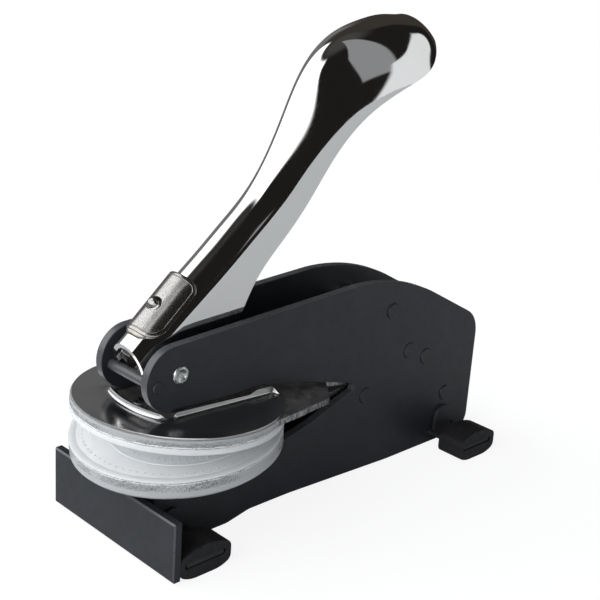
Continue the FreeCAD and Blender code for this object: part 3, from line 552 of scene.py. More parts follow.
def spline(xs, ys):
    """A natural cubic spline through the points, as a function."""
    n = len(xs)
    steps = [xs[i + 1] - xs[i] for i in range(n - 1)]
    bends = [0.0] * n
    diagonal = [1.0] * n
    carry = [0.0] * n
    for i in range(1, n - 1):
        right = 6 * ((ys[i + 1] - ys[i]) / steps[i] - (ys[i] - ys[i - 1]) / steps[i - 1])
        before = steps[i - 1] / diagonal[i - 1] * (i > 1)
        diagonal[i] = 2 * (steps[i] + steps[i - 1]) - steps[i - 1] * before
        carry[i] = right - carry[i - 1] * before
    for i in range(n - 2, 0, -1):
        bends[i] = (carry[i] - steps[i] * bends[i + 1] * (i < n - 2)) / diagonal[i]

    def at(x):
        k = 0
        while k < n - 2 and x > xs[k + 1]:
            k += 1
        h = steps[k]
        a = (xs[k + 1] - x) / h
        b = (x - xs[k]) / h
        curve = (a ** 3 - a) * bends[k] + (b ** 3 - b) * bends[k + 1]
        return a * ys[k] + b * ys[k + 1] + curve * h * h / 6
    return at


def eased(a, b, share):
    return a + (b - a) * share


def soft(value, low, high):
    """0 below low, 1 above high, with a smooth rise between."""
    share = min(max((value - low) / (high - low), 0.0), 1.0)
    return share * share * (3 - 2 * share)


# Lever handle: one pressed shell, drawn in the lever's frame as (x, l, n)

section_ls = [share * LEVER_L for share in L_SHARES[:-1]] + [LEVER_L, LEVER_END]
width_squares = [(share * TUBE_W) ** 2 for share in W_SHARES] + [0.0]
tops = [share * TUBE_W for share in T_SHARES] + [NOSE_T]
arches = [share * TUBE_W for share in ARCH_SHARES] + [(NOSE_T - NOSE_RIM) * NOSE_ARCH_SHARE]
half_width_squared = spline(section_ls, width_squares)
arch_at = spline(section_ls, arches)
top_at = spline(section_ls, tops)
rim_at = spline([share * LEVER_L for share in RIM_L_SHARES] + [LEVER_END],
                [share * TUBE_W for share in RIM_N_SHARES] + [NOSE_RIM])


def half_width(l):
    return math.sqrt(max(half_width_squared(min(l, LEVER_END)), 0.0))


def tuck_at(l):
    """How far the grip's sides curl in towards the rim, as an angle."""
    curl = soft(l, TUCK_START_L, TUCK_END_L) * (1 - soft(l, TUCK_END_L, TUCK_LAST_L))
    return math.radians(TUCK_ANGLE) * curl


def on_circle(centre, r, turn):
    return (centre[0] + r * math.cos(turn), centre[1] + r * math.sin(turn))


def arc_run(centre, r, start, end, count):
    return [on_circle(centre, r, eased(start, end, i / count)) for i in range(1, count + 1)]


def line_run(start, end, count):
    return [tuple(eased(a, b, i / count) for a, b in zip(start, end)) for i in range(1, count + 1)]


def tangent_turn(c0, r0, c1, r1):
    """Direction from both centres to where one outer tangent touches the circles."""
    dx = c1[0] - c0[0]
    dy = c1[1] - c0[1]
    return math.atan2(dy, dx) + math.acos((r0 - r1) / math.hypot(dx, dy))


def cheek_columns():
    """Lower edge of the lever's cheek from the beak to the rim, paired with places along the ridge."""
    dip = (CHEEK_L, math.sqrt(PIVOT_BOSS_R ** 2 - CHEEK_L ** 2))
    front = tangent_turn(ROLLER_AT, ROLLER_BOSS_R, (0, 0), PIVOT_BOSS_R)
    rear = tangent_turn(RIM_END, 0, ROLLER_AT, ROLLER_BOSS_R)
    start = math.atan2(dip[1], dip[0]) % (2 * math.pi)
    stop = front % (2 * math.pi)
    boss = on_circle(ROLLER_AT, ROLLER_BOSS_R, front)
    runs = [
        ([BEAK_LOW], 0.0),
        (line_run(BEAK_LOW, (CHEEK_L, BEAK_LOW[1]), 3), 0.10),
        (line_run((CHEEK_L, BEAK_LOW[1]), dip, 4), 0.22),
        (arc_run((0, 0), PIVOT_BOSS_R, start, stop, 5), 0.35),
        (line_run(on_circle((0, 0), PIVOT_BOSS_R, stop), boss, 8), 0.62),
        (arc_run(ROLLER_AT, ROLLER_BOSS_R, stop, rear % (2 * math.pi), 9), 1.0)]
    columns = []
    share = 0.0
    for points, share_end in runs:
        for i, low in enumerate(points):
            columns.append((eased(share, share_end, (i + 1) / len(points)), None, low))
        share = share_end
    touch = columns[-1][2]
    for i, low in enumerate(line_run(touch, RIM_END, RISE_COLUMNS), 1):
        columns.append((1.0, eased(TUBE_START_L, RIM_END[0], i / RISE_COLUMNS), low))
    return columns


def lever_columns():
    """Every column of the shell: (share of the front zone, l of the ridge, lower end)."""
    ls = [eased(RIM_END[0], END_COLUMNS_L, i / LONG_COLUMNS) for i in range(1, LONG_COLUMNS + 1)]
    ls += [eased(END_COLUMNS_L, LEVER_END, math.sin(math.pi / 2 * i / END_COLUMNS))
           for i in range(1, END_COLUMNS + 1)]
    return cheek_columns() + [(1.0, l, (l, rim_at(l))) for l in ls]


def front_cut_l(n):
    lean = (BEAK_LOW[0] - BEAK_TOP[0]) / (BEAK_TOP[1] - BEAK_LOW[1])
    return BEAK_TOP[0] + lean * (BEAK_TOP[1] - n)


def lever_section(share, l, low, inset):
    """Half of one section, from the ridge round to the rim, on the +X side."""
    points = []
    for i in range(ARCH_STEPS + 1):
        turn = math.pi / 2 * i / ARCH_STEPS
        at = TUBE_START_L if l is None else l
        for _ in range(3):
            w = half_width(at)
            arch = arch_at(at)
            n = top_at(at) - arch + (arch - inset) * math.cos(turn)
            if l is None:
                at = eased(front_cut_l(n), TUBE_START_L, share)
        points.append((max(w - inset, 0) * math.sin(turn), at, n))
    spring = (points[-1][1], points[-1][2])
    tuck = tuck_at(low[0])
    for i in range(1, SIDE_STEPS + 1):
        share = i / SIDE_STEPS
        drop = math.sin(tuck * share) / math.sin(tuck) if tuck else share
        at = eased(spring[0], low[0], share)
        n = eased(spring[1], low[1], drop)
        points.append((max(half_width(at) - inset, 0) * math.cos(tuck * share), at, n))
    return points


def lever_shell():
    """Outer and inner faces of the pressed shell, closed along its rim."""
    half = ARCH_STEPS + SIDE_STEPS + 1
    around = 2 * half - 1
    points = []
    faces = []
    columns = lever_columns()
    for layer, inset in enumerate((0.0, WALL)):
        for share, l, low in columns:
            section = lever_section(share, l, low, inset)
            if inset and l is not None and l > LEVER_L - 2 * WALL:
                section = [(x, min(at, LEVER_END - WALL), n) for x, at, n in section]
            points += [(-x, at, n) for x, at, n in reversed(section[1:])]
            points += section
        base = layer * len(columns) * around
        for c in range(len(columns) - 1):
            for k in range(around - 1):
                a = base + c * around + k
                b = a + around
                faces.append((a, b, b + 1, a + 1) if inset else (a, a + 1, b + 1, b))
    inner = len(columns) * around
    for c in range(len(columns) - 1):
        for k in (0, around - 1):
            a = c * around + k
            b = a + around
            faces.append((a, b, b + inner, a + inner))
    for k in range(around - 1):
        for a in (k, (len(columns) - 1) * around + k):
            faces.append((a, a + 1, a + 1 + inner, a + inner))
    made = piece("lever_shell", points, faces, lever, "handle", "handle_chrome", ["handle_shell"],
                 chrome)
    edge_round(made, LEVER_ROUND, limit=50.0)


lever_shell()


# Thumb plate of the lock, its stud, and the tongue of the slide under its front edge

LOCK_R_IN = 6.6
LOCK_R_OUT = 7.6
LOCK_CENTRE_N = 5.59
LOCK_L = (1.5, 21.4)
LOCK_ANGLE = 62.0
LOCK_CORNERS = (4.8, 3.0)
TONGUE_HALF = 4.4
TONGUE_L = (0.3, 6.0)
TONGUE_CORNERS = (2.8, 2.5)
TONGUE_R = TUBE_W + 0.03
STUD_L = 10.7
STUD_R = 1.9
STUD_RISE = 1.4
SHANK_R = 1.5
SHANK_L = 5.2
MIDDLE_SHARES = (0.85, 0.68, 0.5, 0.32, 0.15)
LEAST_CORNER = 0.3

# Rims of both sheets, as (inset from the outline, height over the inside); the lock plate's has a groove
lock_t = LOCK_R_OUT - LOCK_R_IN
LOCK_RIM = ((1.2, 0.02), (0.15, 0.02), (0.0, 0.15), (0.0, lock_t - 0.35), (0.1, lock_t - 0.1),
            (0.35, lock_t), (0.95, lock_t), (1.05, lock_t - 0.16), (1.17, lock_t - 0.20),
            (1.29, lock_t - 0.16), (1.38, lock_t))
TONGUE_RIM = ((0.0, 0.0), (0.0, 0.25), (0.15, 0.45), (0.45, 0.66), (0.9, 0.8), (1.5, 0.86))


def round_rectangle(half_a, half_b, corners, side_steps=8, corner_steps=7):
    """Points round a rectangle; corners are the radii at its low and high ends."""
    low, high = corners
    rounds = (((half_a - high, half_b - high), high), ((high - half_a, half_b - high), high),
              ((low - half_a, low - half_b), low), ((half_a - low, low - half_b), low))
    loop = []
    for i, (centre, r) in enumerate(rounds):
        start = math.pi / 2 * i
        turn = start + math.pi / 2
        loop += [on_circle(centre, r, start)] + arc_run(centre, r, start, turn, corner_steps)
        loop += line_run(loop[-1], on_circle(*rounds[(i + 1) % 4], turn), side_steps)[:-1]
    return loop


def wrapped_plate(name, half_s, l_range, corners, rim, r_in, nodes, material):
    """A thin plate of the lock, bent round the lever's ridge with the radius r_in inside."""
    half_l = (l_range[1] - l_range[0]) / 2
    middle = (l_range[0] + l_range[1]) / 2
    points = []
    faces = []

    def on_tube(s, l, height):
        turn = s / r_in
        r = r_in + height
        return (r * math.sin(turn), middle + l, LOCK_CENTRE_N + r * math.cos(turn))

    for inset, height in rim:
        rounds = [max(r - inset, LEAST_CORNER) for r in corners]
        outline = round_rectangle(half_s - inset, half_l - inset, rounds)
        points += [on_tube(s, l, height) for s, l in outline]
    for share in MIDDLE_SHARES:
        points += [on_tube(s * share, l * share, height) for s, l in outline]
    join_rows(faces, 0, len(rim) + len(MIDDLE_SHARES), len(outline))
    add_tip(points, faces, len(outline), on_tube(0, 0, height))
    piece(name, points, faces, lever, "lock", "lock_chrome", nodes, material, limit=48.0)


def lock_pieces():
    """The thumb plate, the slide's tongue that shows under it, and the dome of the stud."""
    half_s = math.radians(LOCK_ANGLE) * LOCK_R_IN
    wrapped_plate("lock_thumb_plate", half_s, LOCK_L, LOCK_CORNERS, LOCK_RIM, LOCK_R_IN,
                  ["lock_plate"], lock_chrome)
    wrapped_plate("lock_tongue", TONGUE_HALF, TONGUE_L, TONGUE_CORNERS, TONGUE_RIM, TONGUE_R,
                  [], plain_steel("tongue_metal", (0.34, 0.325, 0.295), 0.30))
    profile = [(SHANK_R, -SHANK_L), (SHANK_R, -0.2), (STUD_R + 0.45, -0.12), (STUD_R + 0.12, 0.1)]
    for i in range(9):
        turn = math.pi / 2 * i / 9
        profile.append((STUD_R * math.cos(turn), 0.15 + STUD_RISE * math.sin(turn)))
    profile.append((0.0, 0.15 + STUD_RISE))
    points, faces = ring_points(profile, 40)
    points = [(x, STUD_L + y, LOCK_CENTRE_N + LOCK_R_OUT + z) for x, y, z in points]
    piece("lock_dome", points, faces, lever, "lock", "lock_chrome", ["lock_stud"], lock_chrome)


lock_pieces()


# Round parts: dies and clear rings

DISC_STEPS = 144
SINK = 0.02

# Lower die: dots on its flange, and a raised field with a lip and ticks, a little off the die's axis
DOT_COUNT = 76
DOT_RING_R = 26.2
DOT_R = 0.34
DOT_H = 0.17
DOT_SINK = 0.03
DOT_STEPS = 10
DOT_SHARES = ((1.0, 0.0), (0.92, 0.55), (0.6, 0.9))
RELIEF_AT = (1.8, 0.8)
RELIEF_R = 21.2
RELIEF_H = 0.14
TICK_COUNT = 60
TICK_W = 0.34
TICK_H = 0.16
TICK_FROM_RIM = (3.9, 2.0)
TICK_RINGS = ((0.0, 0.0), (TICK_H * 0.8, 0.05), (TICK_H, 0.12))

UPPER_RIM_H = 0.35
UPPER_PLUG_H = 0.45

# Burrs on the clear rings' cut edges: waves as (count round the ring, phase)
BURR_STEPS = 420
BURR_IN = 0.3
BURR_OUT = 0.02
UPPER_BURR = (7.14, 0.26)
LOWER_BURR = (4.22, -0.20)
SLOW_WAVES = ((7, 0.0), (19, 1.0), (43, 2.0))
FAST_WAVES = ((97, 0.0), (61, 0.7))
FINE_WAVE = 173


def lower_die_looks():
    """White counter die: a flange with a ring of dots, and a raised field with plain ticks."""
    face = LOWER_STACK
    profile = [(0.0, face), (27.6, face), (27.75, face - 0.06), (28.1, face - 0.06), (28.25, face),
               (29.6, face), (29.9, face - 0.08), (RING_R, face - 0.25), (RING_R, face - LOWER_FLANGE),
               (PLUG_R, face - LOWER_FLANGE), (PLUG_R, 0.0), (0.0, 0.0)]
    points, faces = ring_points(profile, DISC_STEPS)
    for i in range(DOT_COUNT):
        x, y = on_circle((0, 0), DOT_RING_R, 2 * math.pi * i / DOT_COUNT)
        add_dot(points, faces, x, y, face - DOT_SINK)
    piece("lower_die_face", points, faces, lower, "frame", "white_plastic", ["lower_die"], die_white)
    r = RELIEF_R
    lip = face + RELIEF_H
    profile = [(0.0, face + SINK), (r - 0.95, face + SINK), (r - 0.8, lip), (r - 0.2, lip),
               (r, face - SINK), (r, face - RELIEF_H), (0.0, face - RELIEF_H)]
    points, faces = ring_points(profile, DISC_STEPS)
    for i in range(TICK_COUNT):
        add_tick(points, faces, 2 * math.pi * i / TICK_COUNT, face + SINK)
    points = [(x + RELIEF_AT[0], y + RELIEF_AT[1], z) for x, y, z in points]
    piece("lower_die_relief", points, faces, lower, "frame", "white_plastic", [], die_relief,
          limit=20.0)


def add_dot(points, faces, x, y, z):
    """A low round bead on a face."""
    base = len(points)
    for share, rise in DOT_SHARES:
        for k in range(DOT_STEPS):
            turn = 2 * math.pi * k / DOT_STEPS
            points.append((*on_circle((x, y), DOT_R * share, turn), z + rise * DOT_H))
    join_rows(faces, base, len(DOT_SHARES), DOT_STEPS)
    add_tip(points, faces, DOT_STEPS, (x, y, z + DOT_H))
    faces.append(tuple(base + k for k in reversed(range(DOT_STEPS))))


def add_tick(points, faces, turn, z):
    """A short raised bar along a radius."""
    base = len(points)
    along = (math.cos(turn), math.sin(turn))
    across = (-along[1], along[0])
    r_in, r_out = (RELIEF_R - gap for gap in TICK_FROM_RIM)
    for rise, shrink in TICK_RINGS:
        near = r_in + shrink
        far = r_out - shrink
        for r, side in ((near, -1), (far, -1), (far, 1), (near, 1)):
            off = side * (TICK_W / 2 - shrink / 2)
            points.append((r * along[0] + off * across[0], r * along[1] + off * across[1], z + rise))
    join_rows(faces, base, len(TICK_RINGS), 4)
    faces.append((base + 8, base + 9, base + 10, base + 11))
    faces.append((base + 3, base + 2, base + 1, base))


def upper_die_looks():
    """White die: a flange whose face has a raised rim, and a plug into the clear ring."""
    face = LOWER_STACK + CLOSED_GAP
    flange_top = face + UPPER_FLANGE
    top = flange_top + UPPER_PLUG_H
    profile = [(0.0, face + UPPER_RIM_H), (20.9, face + UPPER_RIM_H), (21.1, face + 0.05), (21.7, face),
               (29.4, face), (29.85, face + 0.12), (RING_R, face + 0.45), (RING_R, flange_top - 0.3),
               (29.85, flange_top), (PLUG_R, flange_top), (PLUG_R, top), (0.0, top)]
    points, faces = ring_points(profile, DISC_STEPS)
    piece("upper_die_body", points, faces, upper, "upper_jaw", "white_plastic", ["upper_die"], die_white)


def torn_lip(name, place, body, z, rise):
    """The ragged burr that a cutting tool leaves round the edge of a clear ring."""
    points = []
    faces = []
    foot = RING_R - BURR_IN
    for i in range(BURR_STEPS):
        turn = 2 * math.pi * i / BURR_STEPS
        wander = sum(math.sin(count * turn + phase) for count, phase in SLOW_WAVES)
        fast = [math.sin(count * turn + phase) for count, phase in FAST_WAVES]
        ragged = fast[0] * fast[1] + 0.5 * math.sin(FINE_WAVE * turn)
        height = rise * max(0.25, 1.0 + 0.2 * wander + 0.55 * ragged)
        out = RING_R + BURR_OUT + 0.03 * abs(ragged)
        for r, level in ((foot, 0.0), (out, 0.0), (out - BURR_OUT, height), (foot, height * 0.5)):
            points.append((*on_circle((0, 0), r, turn), z + level))
    for i in range(BURR_STEPS):
        here = i * 4
        following = (i + 1) % BURR_STEPS * 4
        for k in range(4):
            after = (k + 1) % 4
            faces.append((here + k, following + k, following + after, here + after))
    piece(name, points, faces, place, body, "clear_plastic", [], die_relief, limit=25.0)


lower_die_looks()
upper_die_looks()
torn_lip("upper_ring_burr", upper, "upper_jaw", *UPPER_BURR)
torn_lip("lower_ring_burr", lower, "frame", *LOWER_BURR)
dressed("lower_die_holder", clear_lower, width=HOLDER_ROUNDS[0])
dressed("upper_die_holder", clear_upper, width=HOLDER_ROUNDS[1])
dressed("lower_carrier", nickel_plate, width=SMALL_ROUND)


# Upper carrier: a bright round plate whose opening has an upturned lip, drawn with z = 0 on its top face

CARRIER_TOP = 9.95
LIP_T = 0.8
LIP_ROOT_R = 1.3
LIP_SIDE_ROOT_R = 0.55
LIP_HALF = 12.005
LIP_TIP_Y = -17.1
LIP_CORNER_Y = -14.6
LIP_FADE_X = (10.4, 12.2)
LIP_START_Y = (-12.3, -11.0)
LIP_LEVELS = ((-11.0, 1.6), (14.4, 1.2), (17.9, 2.2), (30.0, 2.2))
MOUTH_R = 3.0
MOUTH_Y = 22.2
LIP_LOW = 0.10
LIP_EDGE = 0.16
CORNER_REACH = 1.6
FRONT_STEPS = 24
CORNER_STEPS = 8
MOUTH_STEPS = 10
ROOT_STEPS = 9
RIM_STEPS = 150
CARRIER_RIM = ((29.45, 0.0), (29.56, -0.04), (CARRIER_R, -0.15), (CARRIER_R, -0.55), (29.45, -CARRIER_T))
RIM_GAP_X = 0.3

# Where the side wall is drawn, closely behind its corner and at its rear step
SIDE_YS = [LIP_CORNER_Y + CORNER_REACH + 0.12 * i for i in range(1, 20)]
SIDE_YS += [-10.0, -4.0, 4.0, 10.0, 13.2, 14.0]
SIDE_YS += [LIP_LEVELS[1][0] + 0.35 * i for i in range(11)] + [18.6, 20.0, 21.2, MOUTH_Y]


def lip_path():
    """Stations round the right half of the opening: place, direction to the plate, and height."""
    stations = []
    sag = LIP_CORNER_Y - LIP_TIP_Y
    r = (LIP_HALF ** 2 + sag ** 2) / (2 * sag)
    for i in range(FRONT_STEPS - 2):
        x = LIP_HALF * i / FRONT_STEPS
        lean = math.asin(x / r)
        at = (x, LIP_TIP_Y + r - math.sqrt(r * r - x * x))
        height = eased(LIP_LEVELS[0][1], LIP_LOW, soft(x, *LIP_FADE_X))
        stations.append((at, (math.sin(lean), -math.cos(lean)), height))
    (start_x, start_y), (out_x, out_y), start_height = stations[-1]
    for i in range(1, CORNER_STEPS + 1):
        share = i / CORNER_STEPS
        a = (eased(start_x, LIP_HALF, share), eased(start_y, LIP_CORNER_Y, share))
        b = (LIP_HALF, eased(LIP_CORNER_Y, LIP_CORNER_Y + CORNER_REACH, share))
        at = (eased(a[0], b[0], share), eased(a[1], b[1], share))
        turn = eased(math.atan2(out_y, out_x), 0.0, share)
        height = eased(start_height, LIP_LOW, soft(share, 0, 1))
        stations.append((at, (math.cos(turn), math.sin(turn)), height))
    for y in SIDE_YS:
        stations.append(((LIP_HALF, y), (1.0, 0.0), side_lip_height(y)))
    for i in range(1, MOUTH_STEPS + 1):
        turn = math.pi / 2 * i / MOUTH_STEPS
        at = (LIP_HALF + MOUTH_R - MOUTH_R * math.cos(turn), MOUTH_Y + MOUTH_R * math.sin(turn))
        height = eased(LIP_LEVELS[-1][1], LIP_LOW, soft(i / MOUTH_STEPS, 0.1, 1.0))
        stations.append((at, (math.cos(turn), -math.sin(turn)), height))
    return stations


def side_lip_height(y):
    """The side wall starts short of the corner, dips, and steps up at the rear."""
    height = LIP_LEVELS[0][1]
    for (y0, h0), (y1, h1) in zip(LIP_LEVELS, LIP_LEVELS[1:]):
        if y0 <= y <= y1:
            height = eased(h0, h1, soft(y, y0, y1) if h1 > h0 else (y - y0) / (y1 - y0))
    return eased(LIP_LOW, height, soft(y, *LIP_START_Y))


def lip_profile(height, root_r):
    """(distance from the opening, height): up from the underside, over the edge, down to the plate."""
    edge = min(LIP_EDGE, height / 3)
    squash = min(1.0, height / (root_r + edge))
    points = [(0.0, -CARRIER_T), (0.0, 0.0), (0.0, height - edge), (edge * 0.3, height - edge * 0.3),
              (edge, height), (LIP_T - edge, height), (LIP_T - edge * 0.3, height - edge * 0.3)]
    for i in range(ROOT_STEPS + 1):
        turn = math.pi / 2 * i / ROOT_STEPS
        out = LIP_T + root_r - root_r * math.cos(turn)
        points.append((out, (root_r - root_r * math.sin(turn)) * squash))
    return points


def carrier_looks():
    """The plate with its lip, drawn from the lip's stations out to the round rim."""
    stations = lip_path()
    left = [((-x, y), (-a, b), h) for (x, y), (a, b), h in reversed(stations[1:])]
    stations = left + stations
    points = []
    faces = []
    count = len(lip_profile(1.0, LIP_ROOT_R))
    for (x, y), (a, b), height in stations:
        root_r = eased(LIP_ROOT_R, LIP_SIDE_ROOT_R, soft(y, *LIP_START_Y))
        points += [(x + a * out, y + b * out, z) for out, z in lip_profile(height, root_r)]
    join_rows(faces, 0, len(stations), count, False)
    root = [i * count + count - 1 for i in range(len(stations))]
    inner_low = [i * count for i in range(len(stations))]
    end = points[inner_low[-1]]
    start_turn = math.atan2(end[1], end[0] + RIM_GAP_X)
    span = 2 * start_turn + math.pi
    rims = []
    for r, z in CARRIER_RIM:
        rims.append(list(range(len(points), len(points) + RIM_STEPS + 1)))
        for i in range(RIM_STEPS + 1):
            points.append((*on_circle((0, 0), r, start_turn - span * i / RIM_STEPS), z))
    for upper_rim, lower_rim in zip(rims, rims[1:]):
        for i in range(RIM_STEPS):
            faces.append((upper_rim[i], upper_rim[i + 1], lower_rim[i + 1], lower_rim[i]))
    faces.append(tuple(root + rims[0]))
    faces.append(tuple(inner_low + rims[-1]))
    points = [(x, y, z + CARRIER_TOP) for x, y, z in points]
    made = piece("upper_carrier_sheet", points, faces, upper, "upper_jaw", "nickel_plate",
                 ["upper_carrier"], nickel_plate, nickel_drawn_shaded)
    # The front lip's faces above its root take the darker nickel: its drawn finish, with painted shade
    back = upper.inverted()
    for face in made.data.polygons:
        x, y, z = back @ face.center
        if z > CARRIER_TOP + LIP_ROOT_R * 0.35 and y < LIP_CORNER_Y:
            face.material_index = 1


carrier_looks()


# Spring leaves

LEAF_CUTS = 26
LEAF_BEND_Y = (20.0 + DIE_AXIS_Y, 72.0 + DIE_AXIS_Y)


def is_leaf_edge(face):
    return abs(face.normal.x) > 0.35 or (face.normal.y < -0.35 and abs(face.normal.z) < 0.7)


def upper_leaf_looks():
    """The real leaf bends with the jaw; here its long faces are only divided along their length."""
    made = dressed("upper_leaf", leaf_steel, leaf_edge, width=SMALL_ROUND, is_second=is_leaf_edge,
                   bends=True)
    work = bmesh.new()
    work.from_mesh(made.data)
    low, high = (y * MM for y in LEAF_BEND_Y)
    for i in range(LEAF_CUTS + 1):
        cut = Vector((0, eased(low, high, i / LEAF_CUTS), 0))
        everything = work.verts[:] + work.edges[:] + work.faces[:]
        bmesh.ops.bisect_plane(work, geom=everything, plane_co=cut, plane_no=(0, 1, 0), dist=MM * MICRON)
    crease(work, CREASE)
    work.to_mesh(made.data)
    work.free()
    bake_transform(made)


upper_leaf_looks()
dressed("lower_leaf", leaf_steel, leaf_edge, width=SMALL_ROUND, is_second=is_leaf_edge)


# Frame, feet and small metal parts

PIN_END_L = 0.3
PIN_PROUD = 0.2
SQUARE_ON = 0.9


def is_cut_edge(face):
    return abs(face.normal.x) < SQUARE_ON


def is_side_face(face):
    return abs(face.normal.x) > SQUARE_ON


def is_chamfer(face):
    return max(abs(c) for c in face.normal) < SQUARE_ON


# The side plates' cut edges, the front bracket's chamfers and the cross pin's body take the lighter black
# paint, a painted highlight
for side in ("right", "left"):
    dressed("side_plate_" + side, black, black_highlight, width=PLATE_ROUND, is_second=is_cut_edge)
    dressed("rubber_foot_front_" + side, foot_rubber, width=FOOT_ROUND)
    dressed("rubber_foot_rear_" + side, foot_rubber, width=FOOT_ROUND)
dressed("front_bracket", black, black_highlight, width=SMALL_ROUND, is_second=is_chamfer)
dressed("front_foot_bar", foot_steel, width=BAR_ROUND)
dressed("rear_foot_bar", foot_steel, width=BAR_ROUND)
dressed("front_cross_pin", black_highlight, black, width=CROSS_PIN_ROUND, is_second=is_side_face)
for pin in ("rear_top_rivet", "rear_bottom_rivet", "lower_seat_pin", "upper_seat_pin", "insert_stop_pin"):
    dressed(pin, black, width=PIN_ROUND)
for small in ("pivot_spacers", "rear_top_spacer", "rear_bottom_spacer", "insert_rivets",
              "lower_die_screws", "upper_die_screws", "press_roller", "lock_bar"):
    dressed(small, bare_steel, width=SMALL_ROUND)


def pivot_rivet_looks():
    """The handle's rivet: on each side a head with a rolled rim round a dish with a flat bottom."""
    low, high = (Vector(corner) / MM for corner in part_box("handle_pivot_rivet"))
    reach = high.x
    r = (high.z - low.z) / 2
    middle = (low + high) / 2
    head = [(0.0, reach - 0.42), (0.7, reach - 0.45), (0.95, reach - 0.40), (1.5, reach - 0.16),
            (1.62, reach - 0.06), (1.78, reach), (2.0, reach - 0.01), (2.25, reach - 0.08),
            (r - 0.12, reach - 0.24), (r, reach - 0.42), (r, reach - 0.55), (2.0, reach - 0.55)]
    profile = head + [(x, -z) for x, z in reversed(head)]
    points, faces = ring_points(profile, 48)
    points = [(z, x + middle.y, y + middle.z) for x, y, z in points]
    piece("pivot_rivet_head", points, faces, Matrix.Scale(MM, 4), "frame", "bare_steel",
          ["handle_pivot_rivet"], rivet_steel, limit=50.0)


def roller_pin_looks():
    """The roller's pin, with ends that stand a little proud of the lever's cheeks."""
    made = dressed("roller_pin", bare_steel, width=PIN_ROUND)
    reach = max(v.co.x for v in made.data.vertices)
    for v in made.data.vertices:
        if abs(v.co.x) > reach - PIN_END_L * MM:
            v.co.x += math.copysign(PIN_PROUD * MM, v.co.x)


pivot_rivet_looks()
roller_pin_looks()


# Camera, floor and light

FLOOR_REACH = 0.42
FLOOR_COLOR = (0.69, 0.715, 0.735)
FLOOR_GLOW = 1.25
FLOOR_GLOW_LOST = 0.75
FLOOR_GLOW_SHARE = 0.7
FLOOR_FADE = (0.12, 0.34)

# Directions are turns from +Y towards -X, in degrees, and heights on the unit sphere
WHITE = (1.0, 1.0, 1.0)
GREY = (0.50, 0.506, 0.51)
BACKDROP = (-25.0, 115.0, 25.0)
CEILING = (0.86, 0.98)
CEILING_COLORS = ((0.013, 0.012, 0.011), (0.06, 0.057, 0.054))

# What stands round the part: (turns, heights, softness of both, lean), where it starts above the
# ground if it does, and its colour
ZONES = (
    ((-1.0, 90.0, -0.30, 0.93, 5.0, 0.05, 0.0), None, (0.042, 0.036, 0.030)),
    ((52.0, 96.0, -0.10, 0.62, 6.0, 0.10, 0.0), None, (0.17, 0.17, 0.17)),
    ((-90.0, -54.0, 0.64, 3.0, 1.5, 0.02, -1.75), (0.05, 0.10), (0.27, 0.275, 0.28)),
    ((-57.0, -22.0, -0.60, 0.20, 1.5, 0.02, 0.62), None, (0.80, 0.82, 0.83)),
    ((-160.0, -99.0, 0.02, 0.86, 4.0, 0.05, -0.74), None, (1.9, 1.9, 1.9)),
    ((92.0, 200.0, 0.10, 0.86, 6.0, 0.04, 0.0), None, (2.6, 2.6, 2.6)),
    ((-200.0, -154.0, 0.10, 0.86, 6.0, 0.04, 0.0), None, (2.6, 2.6, 2.6)),
)


def set_camera():
    data = bpy.data.cameras.new("camera")
    data.lens = LENS
    data.sensor_width = SENSOR_W
    data.sensor_fit = "HORIZONTAL"
    data.clip_start = 0.01
    camera = bpy.data.objects.new("camera", data)
    bpy.context.scene.collection.objects.link(camera)
    turn = Matrix((CAMERA_RIGHT, [-c for c in CAMERA_DOWN], [-c for c in CAMERA_AHEAD])).transposed()
    camera.matrix_world = Matrix.Translation(CAMERA_AT) @ turn.to_4x4()
    bpy.context.scene.camera = camera


class Studio(Nodes):
    """Nodes of the floor and the world, which know where a place or a direction lies."""

    def __init__(self, tree, coords):
        super().__init__(tree)
        self.coords = self.node("ShaderNodeTexCoord").outputs[coords]
        x, y, self.height = self.split(self.coords)
        self.turn = self.math("ARCTAN2", self.math("MULTIPLY", x, -1.0), y)

    def step(self, value, low, high):
        return self.spans(value, low, high, smooth=True)

    def window(self, value, low, high, soft):
        rise = self.step(value, low - soft, low + soft)
        fall = self.step(value, high - soft, high + soft)
        return self.math("MULTIPLY", rise, self.math("SUBTRACT", 1.0, fall))

    def off_backdrop(self):
        """1 where the white backdrop doesn't reach, 0 in front of it."""
        low, high, soft = (math.radians(turn) for turn in BACKDROP)
        return self.math("SUBTRACT", 1.0, self.window(self.turn, low, high, soft))

    def zone(self, turn_low, turn_high, low, high, turn_soft, soft, lean):
        """Directions between two turns and two heights, whose heights may lean with the turn."""
        turn_low, turn_high, turn_soft = (math.radians(turn) for turn in (turn_low, turn_high, turn_soft))
        across = self.window(self.turn, turn_low, turn_high, turn_soft)
        past = self.math("SUBTRACT", self.turn, turn_low)
        height = self.math("SUBTRACT", self.height, self.math("MULTIPLY", past, lean))
        return self.math("MULTIPLY", across, self.window(height, low, high, soft))


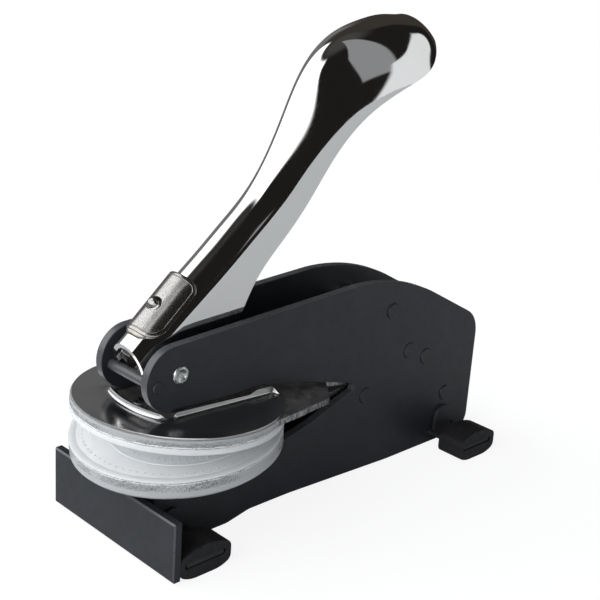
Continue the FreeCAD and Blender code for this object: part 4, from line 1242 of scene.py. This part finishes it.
def floor_material():
    """Pale matt floor, nearly white for the camera, with the part's shadow on it, and grey far off."""
    material = bpy.data.materials.new("floor")
    material.use_nodes = True
    studio = Studio(material.node_tree, "Object")
    shader = studio.tree.nodes["Principled BSDF"]
    studio.feed(FLOOR_COLOR, shader.inputs["Base Color"])
    shader.inputs["Roughness"].default_value = 0.9
    shader.inputs["Specular IOR Level"].default_value = 0.0
    distance = studio.node("ShaderNodeVectorMath", operation="LENGTH")
    studio.link(studio.coords, distance.inputs[0])
    far = studio.step(distance.outputs["Value"], *FLOOR_FADE)
    dim = studio.math("MULTIPLY", far, studio.off_backdrop())
    lost = studio.math("MULTIPLY", dim, FLOOR_GLOW_LOST)
    glow = studio.node("ShaderNodeEmission")
    studio.link(studio.math("SUBTRACT", FLOOR_GLOW, lost), glow.inputs["Strength"])
    path = studio.node("ShaderNodeLightPath")
    mix = studio.node("ShaderNodeMixShader")
    share = studio.math("MULTIPLY", path.outputs["Is Camera Ray"], FLOOR_GLOW_SHARE)
    studio.link(share, mix.inputs["Fac"])
    studio.link(shader.outputs["BSDF"], mix.inputs[1])
    studio.link(glow.outputs["Emission"], mix.inputs[2])
    studio.link(mix.outputs["Shader"], studio.tree.nodes["Material Output"].inputs["Surface"])
    return material


def set_floor():
    mesh = bpy.data.meshes.new("floor")
    corners = [(FLOOR_REACH * x, FLOOR_REACH * y, 0) for x, y in ((-1, -1), (1, -1), (1, 1), (-1, 1))]
    mesh.from_pydata(corners, [], [(0, 1, 2, 3)])
    mesh.materials.append(floor_material())
    floor = bpy.data.objects.new("floor", mesh)
    bpy.context.scene.collection.objects.link(floor)


def set_sky():
    """A dark room behind the part, bright boxes at the left and in front, and pale panels at the right.

    Light through clear plastic sees plain white. The camera sees a white backdrop, and grey beside it.
    """
    world = bpy.data.worlds.new("studio")
    bpy.context.scene.world = world
    world.use_nodes = True
    world.node_tree.nodes.clear()
    sky = Studio(world.node_tree, "Generated")
    color = sky.mix(sky.step(sky.height, *CEILING), *CEILING_COLORS)
    for limits, foot, zone_color in ZONES:
        there = sky.zone(*limits)
        if foot:
            there = sky.math("MULTIPLY", there, sky.step(sky.height, *foot))
        color = sky.mix(there, color, zone_color)
    path = sky.node("ShaderNodeLightPath")
    through = sky.mix(path.outputs["Is Transmission Ray"], color, WHITE)
    backdrop = sky.mix(sky.off_backdrop(), WHITE, GREY)
    background = sky.node("ShaderNodeBackground")
    background.inputs["Strength"].default_value = 1.0
    sky.link(sky.mix(path.outputs["Is Camera Ray"], through, backdrop), background.inputs["Color"])
    output = sky.node("ShaderNodeOutputWorld")
    sky.link(background.outputs["Background"], output.inputs["Surface"])


set_camera()
set_floor()
set_sky()
bpy.context.scene.view_settings.view_transform = "Standard"
